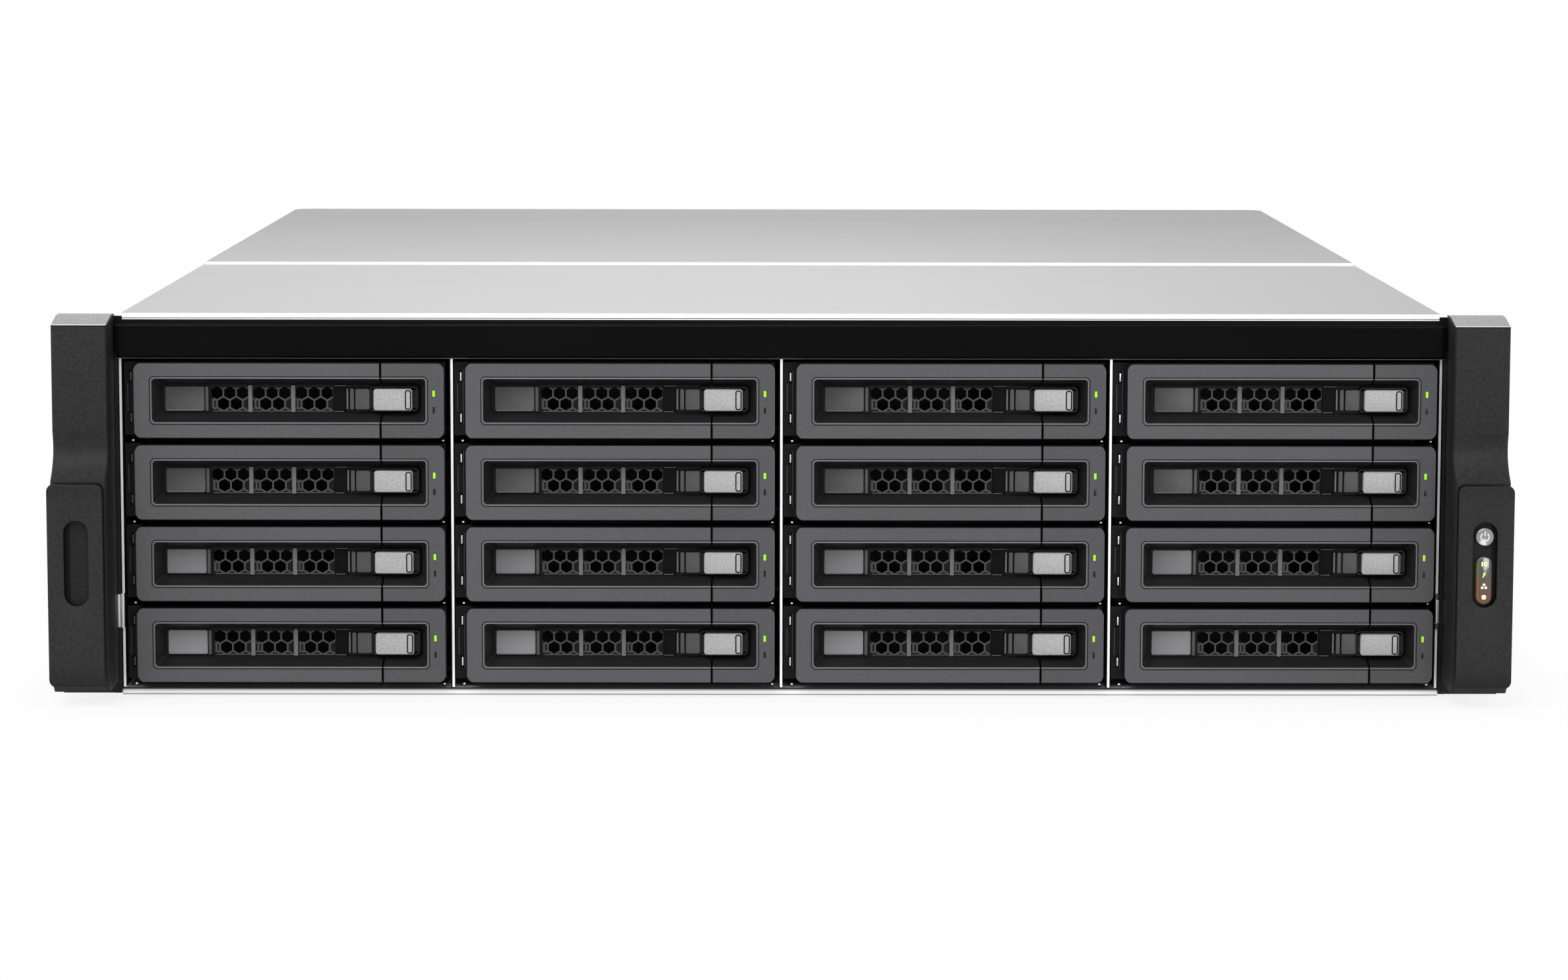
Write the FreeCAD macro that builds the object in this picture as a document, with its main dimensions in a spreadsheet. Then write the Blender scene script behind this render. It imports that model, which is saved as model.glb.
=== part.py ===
"""Rackmount storage server, three units high, with sixteen drive trays. Millimetres.

Frame: +X to the right seen from the front, +Y to the back, +Z up. The origin is the centre of
the chassis pan's underside, so the front plane of the sheet metal is at -chassis_depth / 2.
Tray pieces are drawn once, for the bottom left bay, and placed in each bay by its pitch.
"""
import FreeCAD, Part
import math
import os
import re

import Sketcher

# Driving dimensions: name, size in mm (or degrees), what it measures

SIZES = [
    ("panel_width", 482.0, "over both rack ears, 19 inch standard"),
    ("ear_width", 19.0, "each ear, outside the chassis"),
    ("ear_gap", 1.0, "chassis wall to the ear"),
    ("side_margin", 1.0, "outermost bays to the outside of the walls"),
    ("chassis_depth", 530.0, "front plane to rear panel"),
    ("wall", 1.2, "sheet of the pan, dividers and rear panel"),
    ("pan_height", 127.4, "height of the side walls"),
    ("front_hem", 2.4, "doubled front edge of the floor"),
    ("hem_depth", 8.0, "front edge of the floor, folded length"),
    ("cover_sheet", 1.2, "sheet of the two top covers"),
    ("flange_drop", 12.0, "covers' side flanges outside the walls"),
    ("flange_sheet", 1.0, "covers' side flanges, thickness"),
    ("flange_clear", 0.3, "covers' side flanges to the ears' heels"),
    ("seam_depth", 210.0, "front plane to the seam between the covers"),
    ("seam_gap", 0.4, "between the covers"),
    ("lid_raise", 1.0, "raised field of the rear lid"),
    ("lid_inset", 2.0, "side margin of the raised field"),
    ("lid_corner", 6.0, "rear corner radius of the raised field"),
    ("pan_lip", 2.1, "top of the gloss strip to the top of the walls"),
    ("strip_height", 11.3, "gloss strip"),
    ("strip_thick", 3.0, "gloss strip"),
    ("strip_edge", 0.8, "rounding of the gloss strip's front edges"),
    ("bay_clear", 5.0, "dividers and running room beside the tray rails"),
    ("row_clear", 1.3, "between the drives, upwards"),
    ("strip_lap", 0.8, "gloss strip, down into the top row"),
    ("ledge_reach", 3.0, "tray ledges, out from the dividers"),
    ("ledge_thick", 1.0, "tray ledges"),
    ("ledge_setback", 14.0, "front plane to the ledges"),
    ("tray_low", 5.2, "underside of the lowest bezel"),
    ("bezel_left", 5.2, "divider's middle to the bezel"),
    ("bezel_right", 2.0, "bezel to the next divider's middle"),
    ("bezel_gap", 2.2, "between the bezels, upwards"),
    ("bezel_lead", 6.7, "bezel ahead of the front plane"),
    ("bezel_corner", 2.6, "bezel's outer corners"),
    ("bezel_depth", 7.0, "lever, front to back"),
    ("end_width", 21.0, "fixed end of the bezel, from the joint line"),
    ("split_gap", 0.5, "joint line"),
    ("window_left", 5.7, "margin left of the window"),
    ("window_right", 5.9, "margin right of the window"),
    ("window_height", 14.8, "window at the front"),
    ("window_slope", 2.8, "how far the window's sides lean in"),
    ("window_corner", 0.8, "window's corners, bevel"),
    ("panel_clear", 0.3, "lever's back to the tray panel"),
    ("panel_thick", 2.0, "tray panel"),
    ("panel_reach", 4.2, "tray panel, left of the bezel"),
    ("panel_trim", 0.3, "tray panel, under the bezel's height"),
    ("pivot_inset", 2.6, "bezel's left edge to the lever's pivot"),
    ("pivot_depth", 3.6, "bezel's front to the lever's pivot"),
    ("pin_radius", 1.0, "pivots above and below the knuckle"),
    ("pin_clear", 0.1, "lever's socket round the pivot"),
    ("pin_length", 2.4, "pivot past the knuckle"),
    ("knuckle_radius", 1.7, "tray's knuckle round the pin"),
    ("knuckle_margin", 4.3, "knuckle's ends, in from the lever's ends"),
    ("knuckle_clear", 0.25, "lever's slot round the knuckle"),
    ("heel_relief", 1.2, "step behind the lever's pivoted end"),
    ("grille_first", 33.05, "bezel's left edge to the middle of the grille's first group"),
    ("grille_pitch", 14.1, "grille, group to group"),
    ("hex_pitch", 4.27, "grille holes, along a row"),
    ("hex_wall", 0.55, "bars of the grille"),
    ("rib_width", 1.3, "upright ribs across the grille"),
    ("rib_rise", 1.3, "ribs ahead of the panel"),
    ("rib_height", 8.9, "ribs"),
    ("rib_one", 37.9, "bezel's left edge to the first rib's middle"),
    ("rib_two", 52.2, "bezel's left edge to the second rib's middle"),
    ("latch_overlap", 3.0, "latch, past the joint line to the left"),
    ("latch_width", 13.3, "latch"),
    ("latch_height", 7.3, "latch"),
    ("latch_thick", 2.2, "latch"),
    ("latch_depth", 3.0, "bezel's front to the latch's face"),
    ("latch_travel", 2.0, "latch slides to the right by this"),
    ("latch_clear", 0.2, "latch to its guide"),
    ("guide_margin", 1.5, "guide plate past the latch, each end"),
    ("guide_height", 6.0, "guide plate"),
    ("stem_width", 3.0, "latch's stem"),
    ("stem_height", 2.6, "latch's stem"),
    ("stem_inset", 5.2, "latch's left end to its stem"),
    ("drive_length", 147.0, "3.5 inch drive, whose 101.6 by 26.1 mm follow from the bays"),
    ("drive_setback", 22.0, "tray panel to the drive"),
    ("drive_clear", 0.2, "drive to the rails"),
    ("drive_edge", 2.0, "chamfer on the drive's upright edges"),
    ("rail_thick", 1.5, "tray rails"),
    ("rail_height", 14.0, "tray rails"),
    ("rail_low", 2.0, "bezel's underside to the rails"),
    ("rail_tail", 3.0, "tray rails, past the drive"),
    ("rail_clear", 0.3, "rails above their ledges"),
    ("bridge_height", 4.0, "tray's front and rear cross bars"),
    ("ear_low", 4.7, "underside of the ear"),
    ("ear_over", 1.0, "top of the ear above the walls"),
    ("ear_bevel_back", 6.5, "top bevel, its rear edge ahead of the front plane"),
    ("ear_bevel_drop", 1.4, "top bevel, its front edge below the top of the walls"),
    ("ear_upper", 18.0, "upper face ahead of the front plane"),
    ("ear_upper_end", 91.0, "lower end of the upper face"),
    ("ear_waist", 16.0, "waist ahead of the front plane"),
    ("ear_waist_height", 85.0, "middle of the waist"),
    ("ear_base", 24.0, "lower base ahead of the front plane"),
    ("ear_base_top", 75.0, "upper end of the lower base"),
    ("ear_foot", 2.0, "bevel at the ear's foot"),
    ("ear_hollow", 2.2, "dip of the curve from the lower base to the waist"),
    ("ear_hollow_upper", 0.4, "dip of the curve from the waist to the upper face"),
    ("cap_rise", 4.0, "rounded cap ahead of the lower base"),
    ("cap_low", 7.1, "cap's lower end"),
    ("cap_high", 74.6, "cap's upper end"),
    ("cap_margin", 0.2, "cap's outer side, in from the ear's"),
    ("cap_inset", 2.2, "cap's inner side, in from the ear's"),
    ("cap_round", 2.6, "cap's front edges"),
    ("recess_width", 8.0, "oval recess in the cap"),
    ("recess_height", 28.3, "oval recess in the cap"),
    ("recess_middle", 48.4, "middle of the oval recess"),
    ("recess_depth", 3.0, "oval recess"),
    ("lens_width", 5.2, "indicator lens"),
    ("lens_height", 16.0, "indicator lens"),
    ("lens_middle", 43.1, "middle of the indicator lens"),
    ("lens_rise", 1.8, "lens above the recess's floor"),
    ("button_radius", 3.0, "power button"),
    ("button_middle", 57.6, "middle of the power button"),
    ("button_rise", 2.2, "button above the recess's floor"),
    ("button_sink", 4.0, "button's stem below the recess's floor"),
    ("button_clear", 0.15, "bore round the button"),
    ("button_travel", 1.2, "button pushes in by this"),
    ("heel_low", 0.7, "underside of the ear's heel"),
    ("bracket_length", 42.0, "ear's bracket along the side wall"),
    ("bracket_low", 10.0, "underside of the bracket"),
    ("bracket_high", 110.0, "top of the bracket"),
    ("rail_hole_radius", 2.15, "M4 clearance holes for the rack rails"),
    ("rail_hole_first", 12.0, "middle of the chassis to the first holes"),
    ("rail_hole_spacing", 200.0, "rail holes, front to back"),
    ("rail_hole_height", 64.0, "rail holes above the underside"),
    ("supply_left", 7.0, "left wall to the power supplies"),
    ("supply_width", 86.0, "power supply"),
    ("supply_headroom", 6.6, "bay of the upper supply to the top of the walls"),
    ("supply_length", 190.0, "power supply inside the chassis"),
    ("supply_clear", 0.3, "power supply in its bay"),
    ("supply_face", 2.0, "power supply's face plate behind the panel"),
    ("supply_lip", 1.0, "face plate past the supply's sides"),
    ("handle_width", 46.0, "supply's handle"),
    ("handle_reach", 22.0, "supply's handle"),
    ("handle_bar", 4.0, "supply's handle, bar"),
    ("handle_margin", 5.0, "top of the supply to its handle"),
    ("inlet_width", 27.4, "mains inlet"),
    ("inlet_height", 19.8, "mains inlet"),
    ("inlet_depth", 17.0, "mains inlet"),
    ("inlet_margin", 8.0, "supply's left side to the inlet"),
    ("inlet_low", 9.0, "supply's underside to the inlet"),
    ("vent_slot", 3.2, "supply's vent slots"),
    ("vent_pitch", 5.6, "supply's vent slots"),
    ("vent_height", 30.0, "supply's vent slots"),
    ("vent_depth", 4.0, "supply's vent slots"),
    ("fan_size", 80.0, "fan frame"),
    ("fan_depth", 25.0, "fan frame"),
    ("fan_bore", 38.4, "fan frame's bore, radius"),
    ("fan_middle_height", 64.0, "fan's axis above the underside"),
    ("fan_gap", 6.0, "between the fans"),
    ("fan_strut", 4.0, "struts behind the rotor"),
    ("stator_radius", 16.0, "motor plate"),
    ("stator_thick", 3.0, "motor plate and struts"),
    ("spindle_radius", 2.0, "fan's spindle"),
    ("spindle_clear", 0.1, "rotor's bore round the spindle"),
    ("spindle_length", 14.0, "fan's spindle"),
    ("hub_radius", 17.0, "rotor's hub"),
    ("hub_length", 18.0, "rotor's hub"),
    ("hub_gap", 1.0, "rotor to the motor plate"),
    ("blade_radius", 37.0, "rotor's blades, to the tip"),
    ("blade_chord", 19.0, "rotor's blade, root to tip"),
    ("blade_thick", 1.4, "rotor's blade"),
    ("slot_pitch", 20.32, "card slots"),
    ("slot_width", 13.0, "card slot's window"),
    ("slot_low", 38.0, "card slot's window"),
    ("slot_headroom", 13.4, "card slot's window to the top of the walls"),
    ("slot_cover", 18.4, "card slot's cover"),
    ("slot_cover_thick", 0.9, "card slot's cover"),
    ("slot_cover_lap", 3.0, "cover past its window, above and below"),
    ("board_thick", 1.6, "circuit boards"),
    ("board_low", 8.0, "underside of the main board"),
    ("board_overhang", 6.0, "main board, left of the ports"),
    ("board_side", 5.8, "main board to the right wall"),
    ("board_length", 240.0, "main board, front to back"),
    ("board_margin", 3.0, "main board to the rear panel"),
    ("standoff_radius", 3.0, "main board's standoffs"),
    ("standoff_inset", 8.0, "standoffs, in from the board's edges"),
    ("backplane_margin", 1.8, "backplane to the walls"),
    ("socket_width", 42.0, "drive socket on the backplane"),
    ("socket_height", 6.0, "drive socket on the backplane"),
    ("socket_gap", 0.3, "drive to its socket"),
    ("socket_depth", 12.1, "drive socket on the backplane"),
    ("jack_width", 16.0, "network jack"),
    ("jack_height", 13.6, "network jack"),
    ("jack_depth", 21.0, "network jack"),
    ("jack_mouth_width", 11.8, "network jack's mouth"),
    ("jack_mouth_height", 8.6, "network jack's mouth"),
    ("jack_mouth_depth", 13.0, "network jack's mouth"),
    ("usb_width", 14.4, "paired serial ports"),
    ("usb_height", 16.0, "paired serial ports"),
    ("usb_depth", 17.0, "paired serial ports"),
    ("usb_mouth_width", 12.5, "serial port's mouth"),
    ("usb_mouth_height", 5.2, "serial port's mouth"),
    ("usb_mouth_depth", 9.0, "serial port's mouth"),
    ("port_gap", 1.0, "between the port housings and round them"),
    ("sink_width", 70.0, "processor's heat sink"),
    ("sink_height", 40.0, "processor's heat sink"),
    ("sink_base", 6.0, "heat sink's base"),
    ("fin_thick", 2.0, "heat sink's fins"),
    ("memory_height", 30.0, "memory modules"),
    ("memory_length", 133.0, "memory modules"),
    ("memory_thick", 4.0, "memory modules"),
]
VALUE = {name: size for name, size, note in SIZES}
TRAY_COLUMNS = 4
TRAY_ROWS = 4
GRILLE_GROUPS = 3
HEX_ROWS = ((-1, (-1, 0)), (1, (-1.5, -0.5, 0.5)))
PIVOT_SIDES = 12
FAN_BLADES = 7
BLADE_PITCH = 38
VENT_SLOTS = 6
HEAT_FINS = 8
JACK_COLUMNS = 2
JACK_ROWS = 2
SERIAL_PAIRS = 2
CARD_SLOTS = 3
EAR_HOLLOWS = {3: "ear_hollow", 4: "ear_hollow_upper"}

# Sizes that follow: the panel's width and the walls' height set the bays, and these set what goes in them

FOLLOWS = {
    "half_width": "panel_width / 2 - ear_width - ear_gap",
    "bay_pitch": f"2 * (half_width - side_margin) / {TRAY_COLUMNS}",
    "bezel_width": "bay_pitch - bezel_left - bezel_right",
    "split": "bezel_width - end_width",
    "latch_left": "split - latch_overlap",
    "drive_width": "bay_pitch - bay_clear - 2 * (rail_thick + drive_clear)",
    "strip_low": "pan_height - pan_lip - strip_height",
    "row_pitch": f"(strip_low + strip_lap - tray_low) / {TRAY_ROWS}",
    "bezel_height": "row_pitch - bezel_gap",
    "drive_height": "row_pitch - row_clear",
    "supply_height": "(pan_height - supply_headroom - 2 * wall - 4 * supply_clear) / 2",
    "bay_side": "supply_left + supply_width + supply_clear + 2 * wall - half_width",
    "ports_width": f"{JACK_COLUMNS} * jack_width + {SERIAL_PAIRS} * (usb_width + port_gap) + 2 * port_gap",
    "slots_width": f"{CARD_SLOTS - 1} * slot_pitch + slot_width",
    "rear_room": "half_width - wall - bay_side - 2 * fan_size - fan_gap - ports_width - slots_width",
    "rear_gap": "rear_room / 4",
    "fan_one": "bay_side + rear_gap + fan_size / 2",
    "fan_two": "fan_one + fan_size + fan_gap",
    "port_left": "fan_two + fan_size / 2 + rear_gap",
    "slot_left": "port_left + ports_width + rear_gap",
    "slot_top": "pan_height - slot_headroom",
    "board_left": "port_left - board_overhang",
    "board_right": "half_width - wall - board_side",
}

doc = FreeCAD.newDocument("rack_storage_server")
sheet = doc.addObject("Spreadsheet::Sheet", "dims")
for row, (size_name, size, note) in enumerate(SIZES, start=1):
    sheet.set(f"A{row}", str(size))
    sheet.setAlias(f"A{row}", size_name)
    sheet.set(f"B{row}", note)
doc.recompute()


# Two coordinates closer than this are the same

TINY = 1e-6


# Small helpers that bind primitives to the sheet

def bound(text):
    """The expression with every size in it read from the sheet, and those that follow written out."""
    def read(match):
        word = match[0]
        if word in FOLLOWS:
            return f"({bound(FOLLOWS[word])})"
        return f"dims.{word}" if word in VALUE else word
    return re.sub(r"[a-z][a-z_]*", read, text)


def bind(thing, prop, text):
    thing.setExpression(prop, bound(text))


def place(thing, x="0", y="0", z="0"):
    for axis, text in zip("xyz", (x, y, z)):
        bind(thing, f"Placement.Base.{axis}", text)
    return thing


def box(name, x, y, z):
    """A block between two expressions along each axis."""
    block = doc.addObject("Part::Box", name)
    for prop, (low, high) in zip(("Length", "Width", "Height"), (x, y, z)):
        bind(block, prop, f"({high}) - ({low})")
    return place(block, x[0], y[0], z[0])


TURN = {
    "x": FreeCAD.Rotation(FreeCAD.Vector(0, 1, 0), 90),
    "y": FreeCAD.Rotation(FreeCAD.Vector(1, 0, 0), -90),
    "z": FreeCAD.Rotation(),
}


def rod(name, axis, radius, length, x, y, z):
    """A cylinder that starts at the point x, y, z and runs along +axis."""
    solid = doc.addObject("Part::Cylinder", name)
    solid.Placement = FreeCAD.Placement(FreeCAD.Vector(), TURN[axis])
    bind(solid, "Radius", radius)
    bind(solid, "Height", length)
    return place(solid, x, y, z)


def fuse(name, pieces):
    joined = doc.addObject("Part::MultiFuse", name)
    joined.Shapes = pieces
    joined.Refine = True
    return joined


def cut(name, base, tools):
    result = doc.addObject("Part::Cut", name)
    result.Base = base
    result.Tool = tools[0] if len(tools) == 1 else fuse(name + "_tools", tools)
    return result


def group(name, pieces):
    """Separate solids that make one node."""
    node = doc.addObject("Part::Compound", name)
    node.Links = pieces
    return node


def rounded(name, solid, size_name, chosen, kind="Part::Fillet"):
    """Round or bevel the edges for which chosen(edge) is true."""
    doc.recompute()
    size = VALUE[size_name]
    picked = [i for i, edge in enumerate(solid.Shape.Edges, start=1) if chosen(edge)]
    result = doc.addObject(kind, name)
    result.Base = solid
    result.Edges = [(i, size, size) for i in picked]
    return result


def runs_along(axis):
    """True for an edge that is parallel to one axis."""
    def test(edge):
        spans = {"x": edge.BoundBox.XLength, "y": edge.BoundBox.YLength, "z": edge.BoundBox.ZLength}
        across = max(length for key, length in spans.items() if key != axis)
        return spans[axis] > TINY and across < TINY
    return test


def oval(name, width, height, x, y, z, depth):
    """An upright oval block, middle at x and z, that starts at y and runs back by depth."""
    straight = f"(({height}) - ({width})) / 2"
    middle = box(
        name + "_middle",
        (f"{x} - ({width}) / 2", f"{x} + ({width}) / 2"),
        (y, f"{y} + {depth}"),
        (f"{z} - {straight}", f"{z} + {straight}"),
    )
    ends = [
        rod(f"{name}_end{i}", "y", f"({width}) / 2", depth, x, y, f"{z} {sign} {straight}")
        for i, sign in enumerate("-+")
    ]
    return fuse(name, [middle] + ends)


FRONT = "(-chassis_depth / 2)"
REAR = "(chassis_depth / 2)"
SIDE = "half_width"


# Chassis: folded pan, rear panel and the bay of the power supplies

SUPPLY_LEFT = f"(-{SIDE} + wall + supply_left)"
SUPPLY_RIGHT = f"({SUPPLY_LEFT} + supply_width)"
SHELF_LOW = "(wall + supply_height + 2 * supply_clear)"
SUPPLY_FLOORS = ("(wall + supply_clear)", f"({SHELF_LOW} + wall + supply_clear)")
BAY_TOP = f"({SUPPLY_FLOORS[1]} + supply_height + supply_clear)"
FAN_AXES = ("fan_one", "fan_two")
BOARD_TOP = "(board_low + board_thick)"


def folded_pan():
    floor = box("pan_floor", (f"-{SIDE}", SIDE), (FRONT, REAR), ("0", "wall"))
    hem = box("pan_hem", (f"-{SIDE}", SIDE), (FRONT, f"{FRONT} + hem_depth"), ("0", "front_hem"))
    left = box("pan_left", (f"-{SIDE}", f"-{SIDE} + wall"), (FRONT, REAR), ("0", "pan_height"))
    right = box("pan_right", (f"{SIDE} - wall", SIDE), (FRONT, REAR), ("0", "pan_height"))
    holes = []
    for side, x in enumerate((f"-{SIDE} - wall", f"{SIDE} - 2 * wall")):
        for i in range(2):
            holes.append(rod(f"rail_hole_{side}{i}", "x", "rail_hole_radius", "3 * wall", x,
                             f"rail_hole_first + {i} * rail_hole_spacing", "rail_hole_height"))
    return cut("pan", fuse("pan_sheet", [floor, hem, left, right]), holes)


def rear_panel():
    through = (f"{REAR} - 2 * wall", f"{REAR} + wall")
    panel = box("rear_sheet", (f"-{SIDE} + wall", f"{SIDE} - wall"), (f"{REAR} - wall", REAR),
                ("wall", "pan_height"))
    windows = [
        box("supply_window", (f"{SUPPLY_LEFT} - supply_clear", f"{SUPPLY_RIGHT} + supply_clear"),
            through, ("0", BAY_TOP)),
        box("port_window", ("port_left", "port_left + ports_width"), through,
            (f"{BOARD_TOP} - port_gap", f"{BOARD_TOP} + {JACK_ROWS} * jack_height + port_gap")),
    ]
    for i in range(CARD_SLOTS):
        start = f"slot_left + {i} * slot_pitch"
        windows.append(box(f"slot_window{i}", (start, f"{start} + slot_width"), through,
                           ("slot_low", "slot_top")))
    for i, axis_x in enumerate(FAN_AXES):
        windows.append(rod(f"fan_window{i}", "y", "fan_bore", "4 * wall", axis_x,
                           f"{REAR} - 2 * wall", "fan_middle_height"))
    return cut("rear_panel", panel, windows)


def slot_covers():
    covers = []
    for i in range(CARD_SLOTS):
        middle = f"(slot_left + {i} * slot_pitch + slot_width / 2)"
        covers.append(box(
            f"slot_cover{i}", (f"{middle} - slot_cover / 2", f"{middle} + slot_cover / 2"),
            (f"{REAR} - wall - slot_cover_thick", f"{REAR} - wall"),
            ("slot_low - slot_cover_lap", "slot_top + slot_cover_lap"),
        ))
    return covers


def supply_bay():
    back = (f"{REAR} - wall - supply_length - wall", f"{REAR} - wall")
    partition = (f"{SUPPLY_RIGHT} + supply_clear", f"{SUPPLY_RIGHT} + supply_clear + wall")
    shelf = box("supply_shelf", (f"-{SIDE} + wall", partition[0]), back,
                (SHELF_LOW, f"{SHELF_LOW} + wall"))
    upright = box("supply_partition", partition, back, ("wall", BAY_TOP))
    return fuse("supply_bay", [shelf, upright])


def chassis_pan():
    return group("chassis_pan", [folded_pan(), rear_panel(), supply_bay()] + slot_covers())


# Covers and the gloss strip

COVER_TOP = "(pan_height + cover_sheet)"
COVER_SIDE = f"({SIDE} + flange_sheet)"
SEAM = f"({FRONT} + seam_depth)"


def cover_shell(name, start, end):
    """A top sheet with a flange down each side, outside the walls."""
    top = box(name + "_top", (f"-{COVER_SIDE}", COVER_SIDE), (start, end), ("pan_height", COVER_TOP))
    skirts = [
        box(f"{name}_skirt{i}", x, (start, end), (f"{COVER_TOP} - flange_drop", COVER_TOP))
        for i, x in enumerate(((f"-{COVER_SIDE}", f"-{SIDE}"), (SIDE, COVER_SIDE)))
    ]
    return [top] + skirts


def front_cover():
    apron = box("front_apron", (f"-{SIDE}", SIDE), (f"{FRONT} - wall", FRONT), ("strip_low", COVER_TOP))
    shell = fuse("front_shell", cover_shell("front", f"{FRONT} - wall", SEAM) + [apron])
    doc.recompute()
    front = shell.Shape.BoundBox.YMin
    top = shell.Shape.BoundBox.ZMax

    def lip(edge):
        at = edge.BoundBox
        return runs_along("x")(edge) and at.YMax < front + TINY and at.ZMin > top - TINY
    return rounded("front_cover", shell, "wall", lip)


def rear_lid():
    start = f"({SEAM} + seam_gap)"
    end = f"({REAR} + flange_sheet)"
    tail = box("lid_tail", (f"-{COVER_SIDE}", COVER_SIDE), (REAR, end),
               ("pan_height - wall", COVER_TOP))
    field = box("lid_field", (f"-{SIDE} + lid_inset", f"{SIDE} - lid_inset"),
                (start, f"{REAR} - lid_inset"), (COVER_TOP, f"{COVER_TOP} + lid_raise"))
    doc.recompute()
    rear = field.Shape.BoundBox.YMax

    def rear_corner(edge):
        return runs_along("z")(edge) and edge.BoundBox.YMin > rear - TINY
    soft_field = rounded("lid_soft_field", field, "lid_corner", rear_corner)
    return fuse("rear_lid", cover_shell("lid", start, end) + [tail, soft_field])


def fascia_strip():
    strip = box("strip", (f"-{SIDE}", SIDE), (f"{FRONT} - wall - strip_thick", f"{FRONT} - wall"),
                ("strip_low", "strip_low + strip_height"))
    doc.recompute()
    front = strip.Shape.BoundBox.YMin

    def front_edge(edge):
        return runs_along("x")(edge) and edge.BoundBox.YMax < front + TINY
    return rounded("fascia_strip", strip, "strip_edge", front_edge)


# Places in a bay, measured from the lower left front corner of its bezel

BEZEL_X = f"(-{TRAY_COLUMNS} * bay_pitch / 2 + bezel_left)"
BEZEL_Y = f"({FRONT} - bezel_lead)"
BEZEL_Z = "tray_low"
PANEL_FRONT = "(bezel_depth + panel_clear)"
PANEL_BACK = f"({PANEL_FRONT} + panel_thick)"
MIDDLE = "(bezel_height / 2)"
BAY_MIDDLE = "(bay_pitch / 2 - bezel_left)"
PIN_END = "(knuckle_margin - pin_length)"
DRIVE_FRONT = f"({PANEL_BACK} + drive_setback)"
DRIVE_REAR = f"({DRIVE_FRONT} + drive_length)"
BACKPLANE = f"({BEZEL_Y} + {DRIVE_REAR} + socket_gap + socket_depth)"


# Drive cage: three dividers and the tray ledges on both sides of each bay

LEDGE_TOP = "(tray_low + rail_low - rail_clear)"


def ledge(name, low_x, high_x, row):
    top = f"({LEDGE_TOP} + {row} * row_pitch)"
    return box(name, (low_x, high_x), (f"{FRONT} + ledge_setback", BACKPLANE),
               (f"{top} - ledge_thick", top))


def divider(index):
    middle = f"({index} * bay_pitch)"
    faces = (f"{middle} - wall / 2", f"{middle} + wall / 2")
    plate = box(f"divider_plate{index + 1}", faces, (FRONT, BACKPLANE),
                ("front_hem", "pan_height"))
    reach = (f"{faces[0]} - ledge_reach", f"{faces[1]} + ledge_reach")
    ledges = [ledge(f"divider_ledge{index + 1}{row}", *reach, row) for row in range(TRAY_ROWS)]
    return fuse(f"divider{index + 1}", [plate] + ledges)


def wall_ledges():
    inner = f"({SIDE} - wall)"
    reach = f"({TRAY_COLUMNS} * bay_pitch / 2 - wall / 2 - ledge_reach)"
    ledges = []
    for row in range(TRAY_ROWS):
        ledges.append(ledge(f"left_ledge{row}", f"-{inner}", f"-{reach}", row))
        ledges.append(ledge(f"right_ledge{row}", reach, inner, row))
    return ledges


def drive_cage():
    return group("drive_cage", [front_cover()] + [divider(i) for i in (-1, 0, 1)] + wall_ledges())


# Tray: panel with grille, fixed bezel end, rails and drive

def tray_box(name, u, w, v):
    """A block measured from the bezel's lower left front corner: right, back and up."""
    return box(
        name,
        tuple(f"{BEZEL_X} + {t}" for t in u),
        tuple(f"{BEZEL_Y} + {t}" for t in w),
        tuple(f"{BEZEL_Z} + {t}" for t in v),
    )


def tray_rod(name, axis, radius, length, u, w, v):
    return rod(name, axis, radius, length, f"{BEZEL_X} + {u}", f"{BEZEL_Y} + {w}", f"{BEZEL_Z} + {v}")


def centred(height):
    return (f"{MIDDLE} - {height} / 2", f"{MIDDLE} + {height} / 2")


def raised(name, left, width, height, rise):
    """A plate that stands on the front of the tray panel."""
    return tray_box(name, (left, f"{left} + {width}"), (f"{PANEL_FRONT} - {rise}", PANEL_FRONT),
                    centred(height))


def window_tool(name, depth):
    """The window through lever and fixed end: a block whose four sides lean in to the back."""
    block = doc.addObject("Part::Wedge", name + "_wedge")
    limits = {
        "Xmin": "window_left",
        "Xmax": "bezel_width - window_right",
        "Zmin": f"{MIDDLE} - window_height / 2",
        "Zmax": f"{MIDDLE} + window_height / 2",
    }
    for prop, text in limits.items():
        inward = "+" if prop.endswith("min") else "-"
        bind(block, prop, text)
        bind(block, prop[0] + "2" + prop[1:], f"{text} {inward} window_slope")
    bind(block, "Ymin", "0")
    bind(block, "Ymax", depth)

    def runs_back(edge):
        return edge.BoundBox.YLength > TINY
    placed = place(block, BEZEL_X, BEZEL_Y, BEZEL_Z)
    return rounded(name, placed, "window_corner", runs_back, "Part::Chamfer")


def bezel_piece(name, u, depth, round_left):
    """A stretch of the bezel with its two outer corners rounded and the window cut through."""
    block = tray_box(name + "_block", u, ("0", depth), ("0", "bezel_height"))
    doc.recompute()
    limits = block.Shape.BoundBox
    end = limits.XMin if round_left else limits.XMax

    def corner(edge):
        return runs_along("y")(edge) and abs(edge.BoundBox.XMin - end) < TINY
    soft = rounded(name + "_soft", block, "bezel_corner", corner)
    return cut(name + "_frame", soft, [window_tool(name + "_window", depth)])


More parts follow.
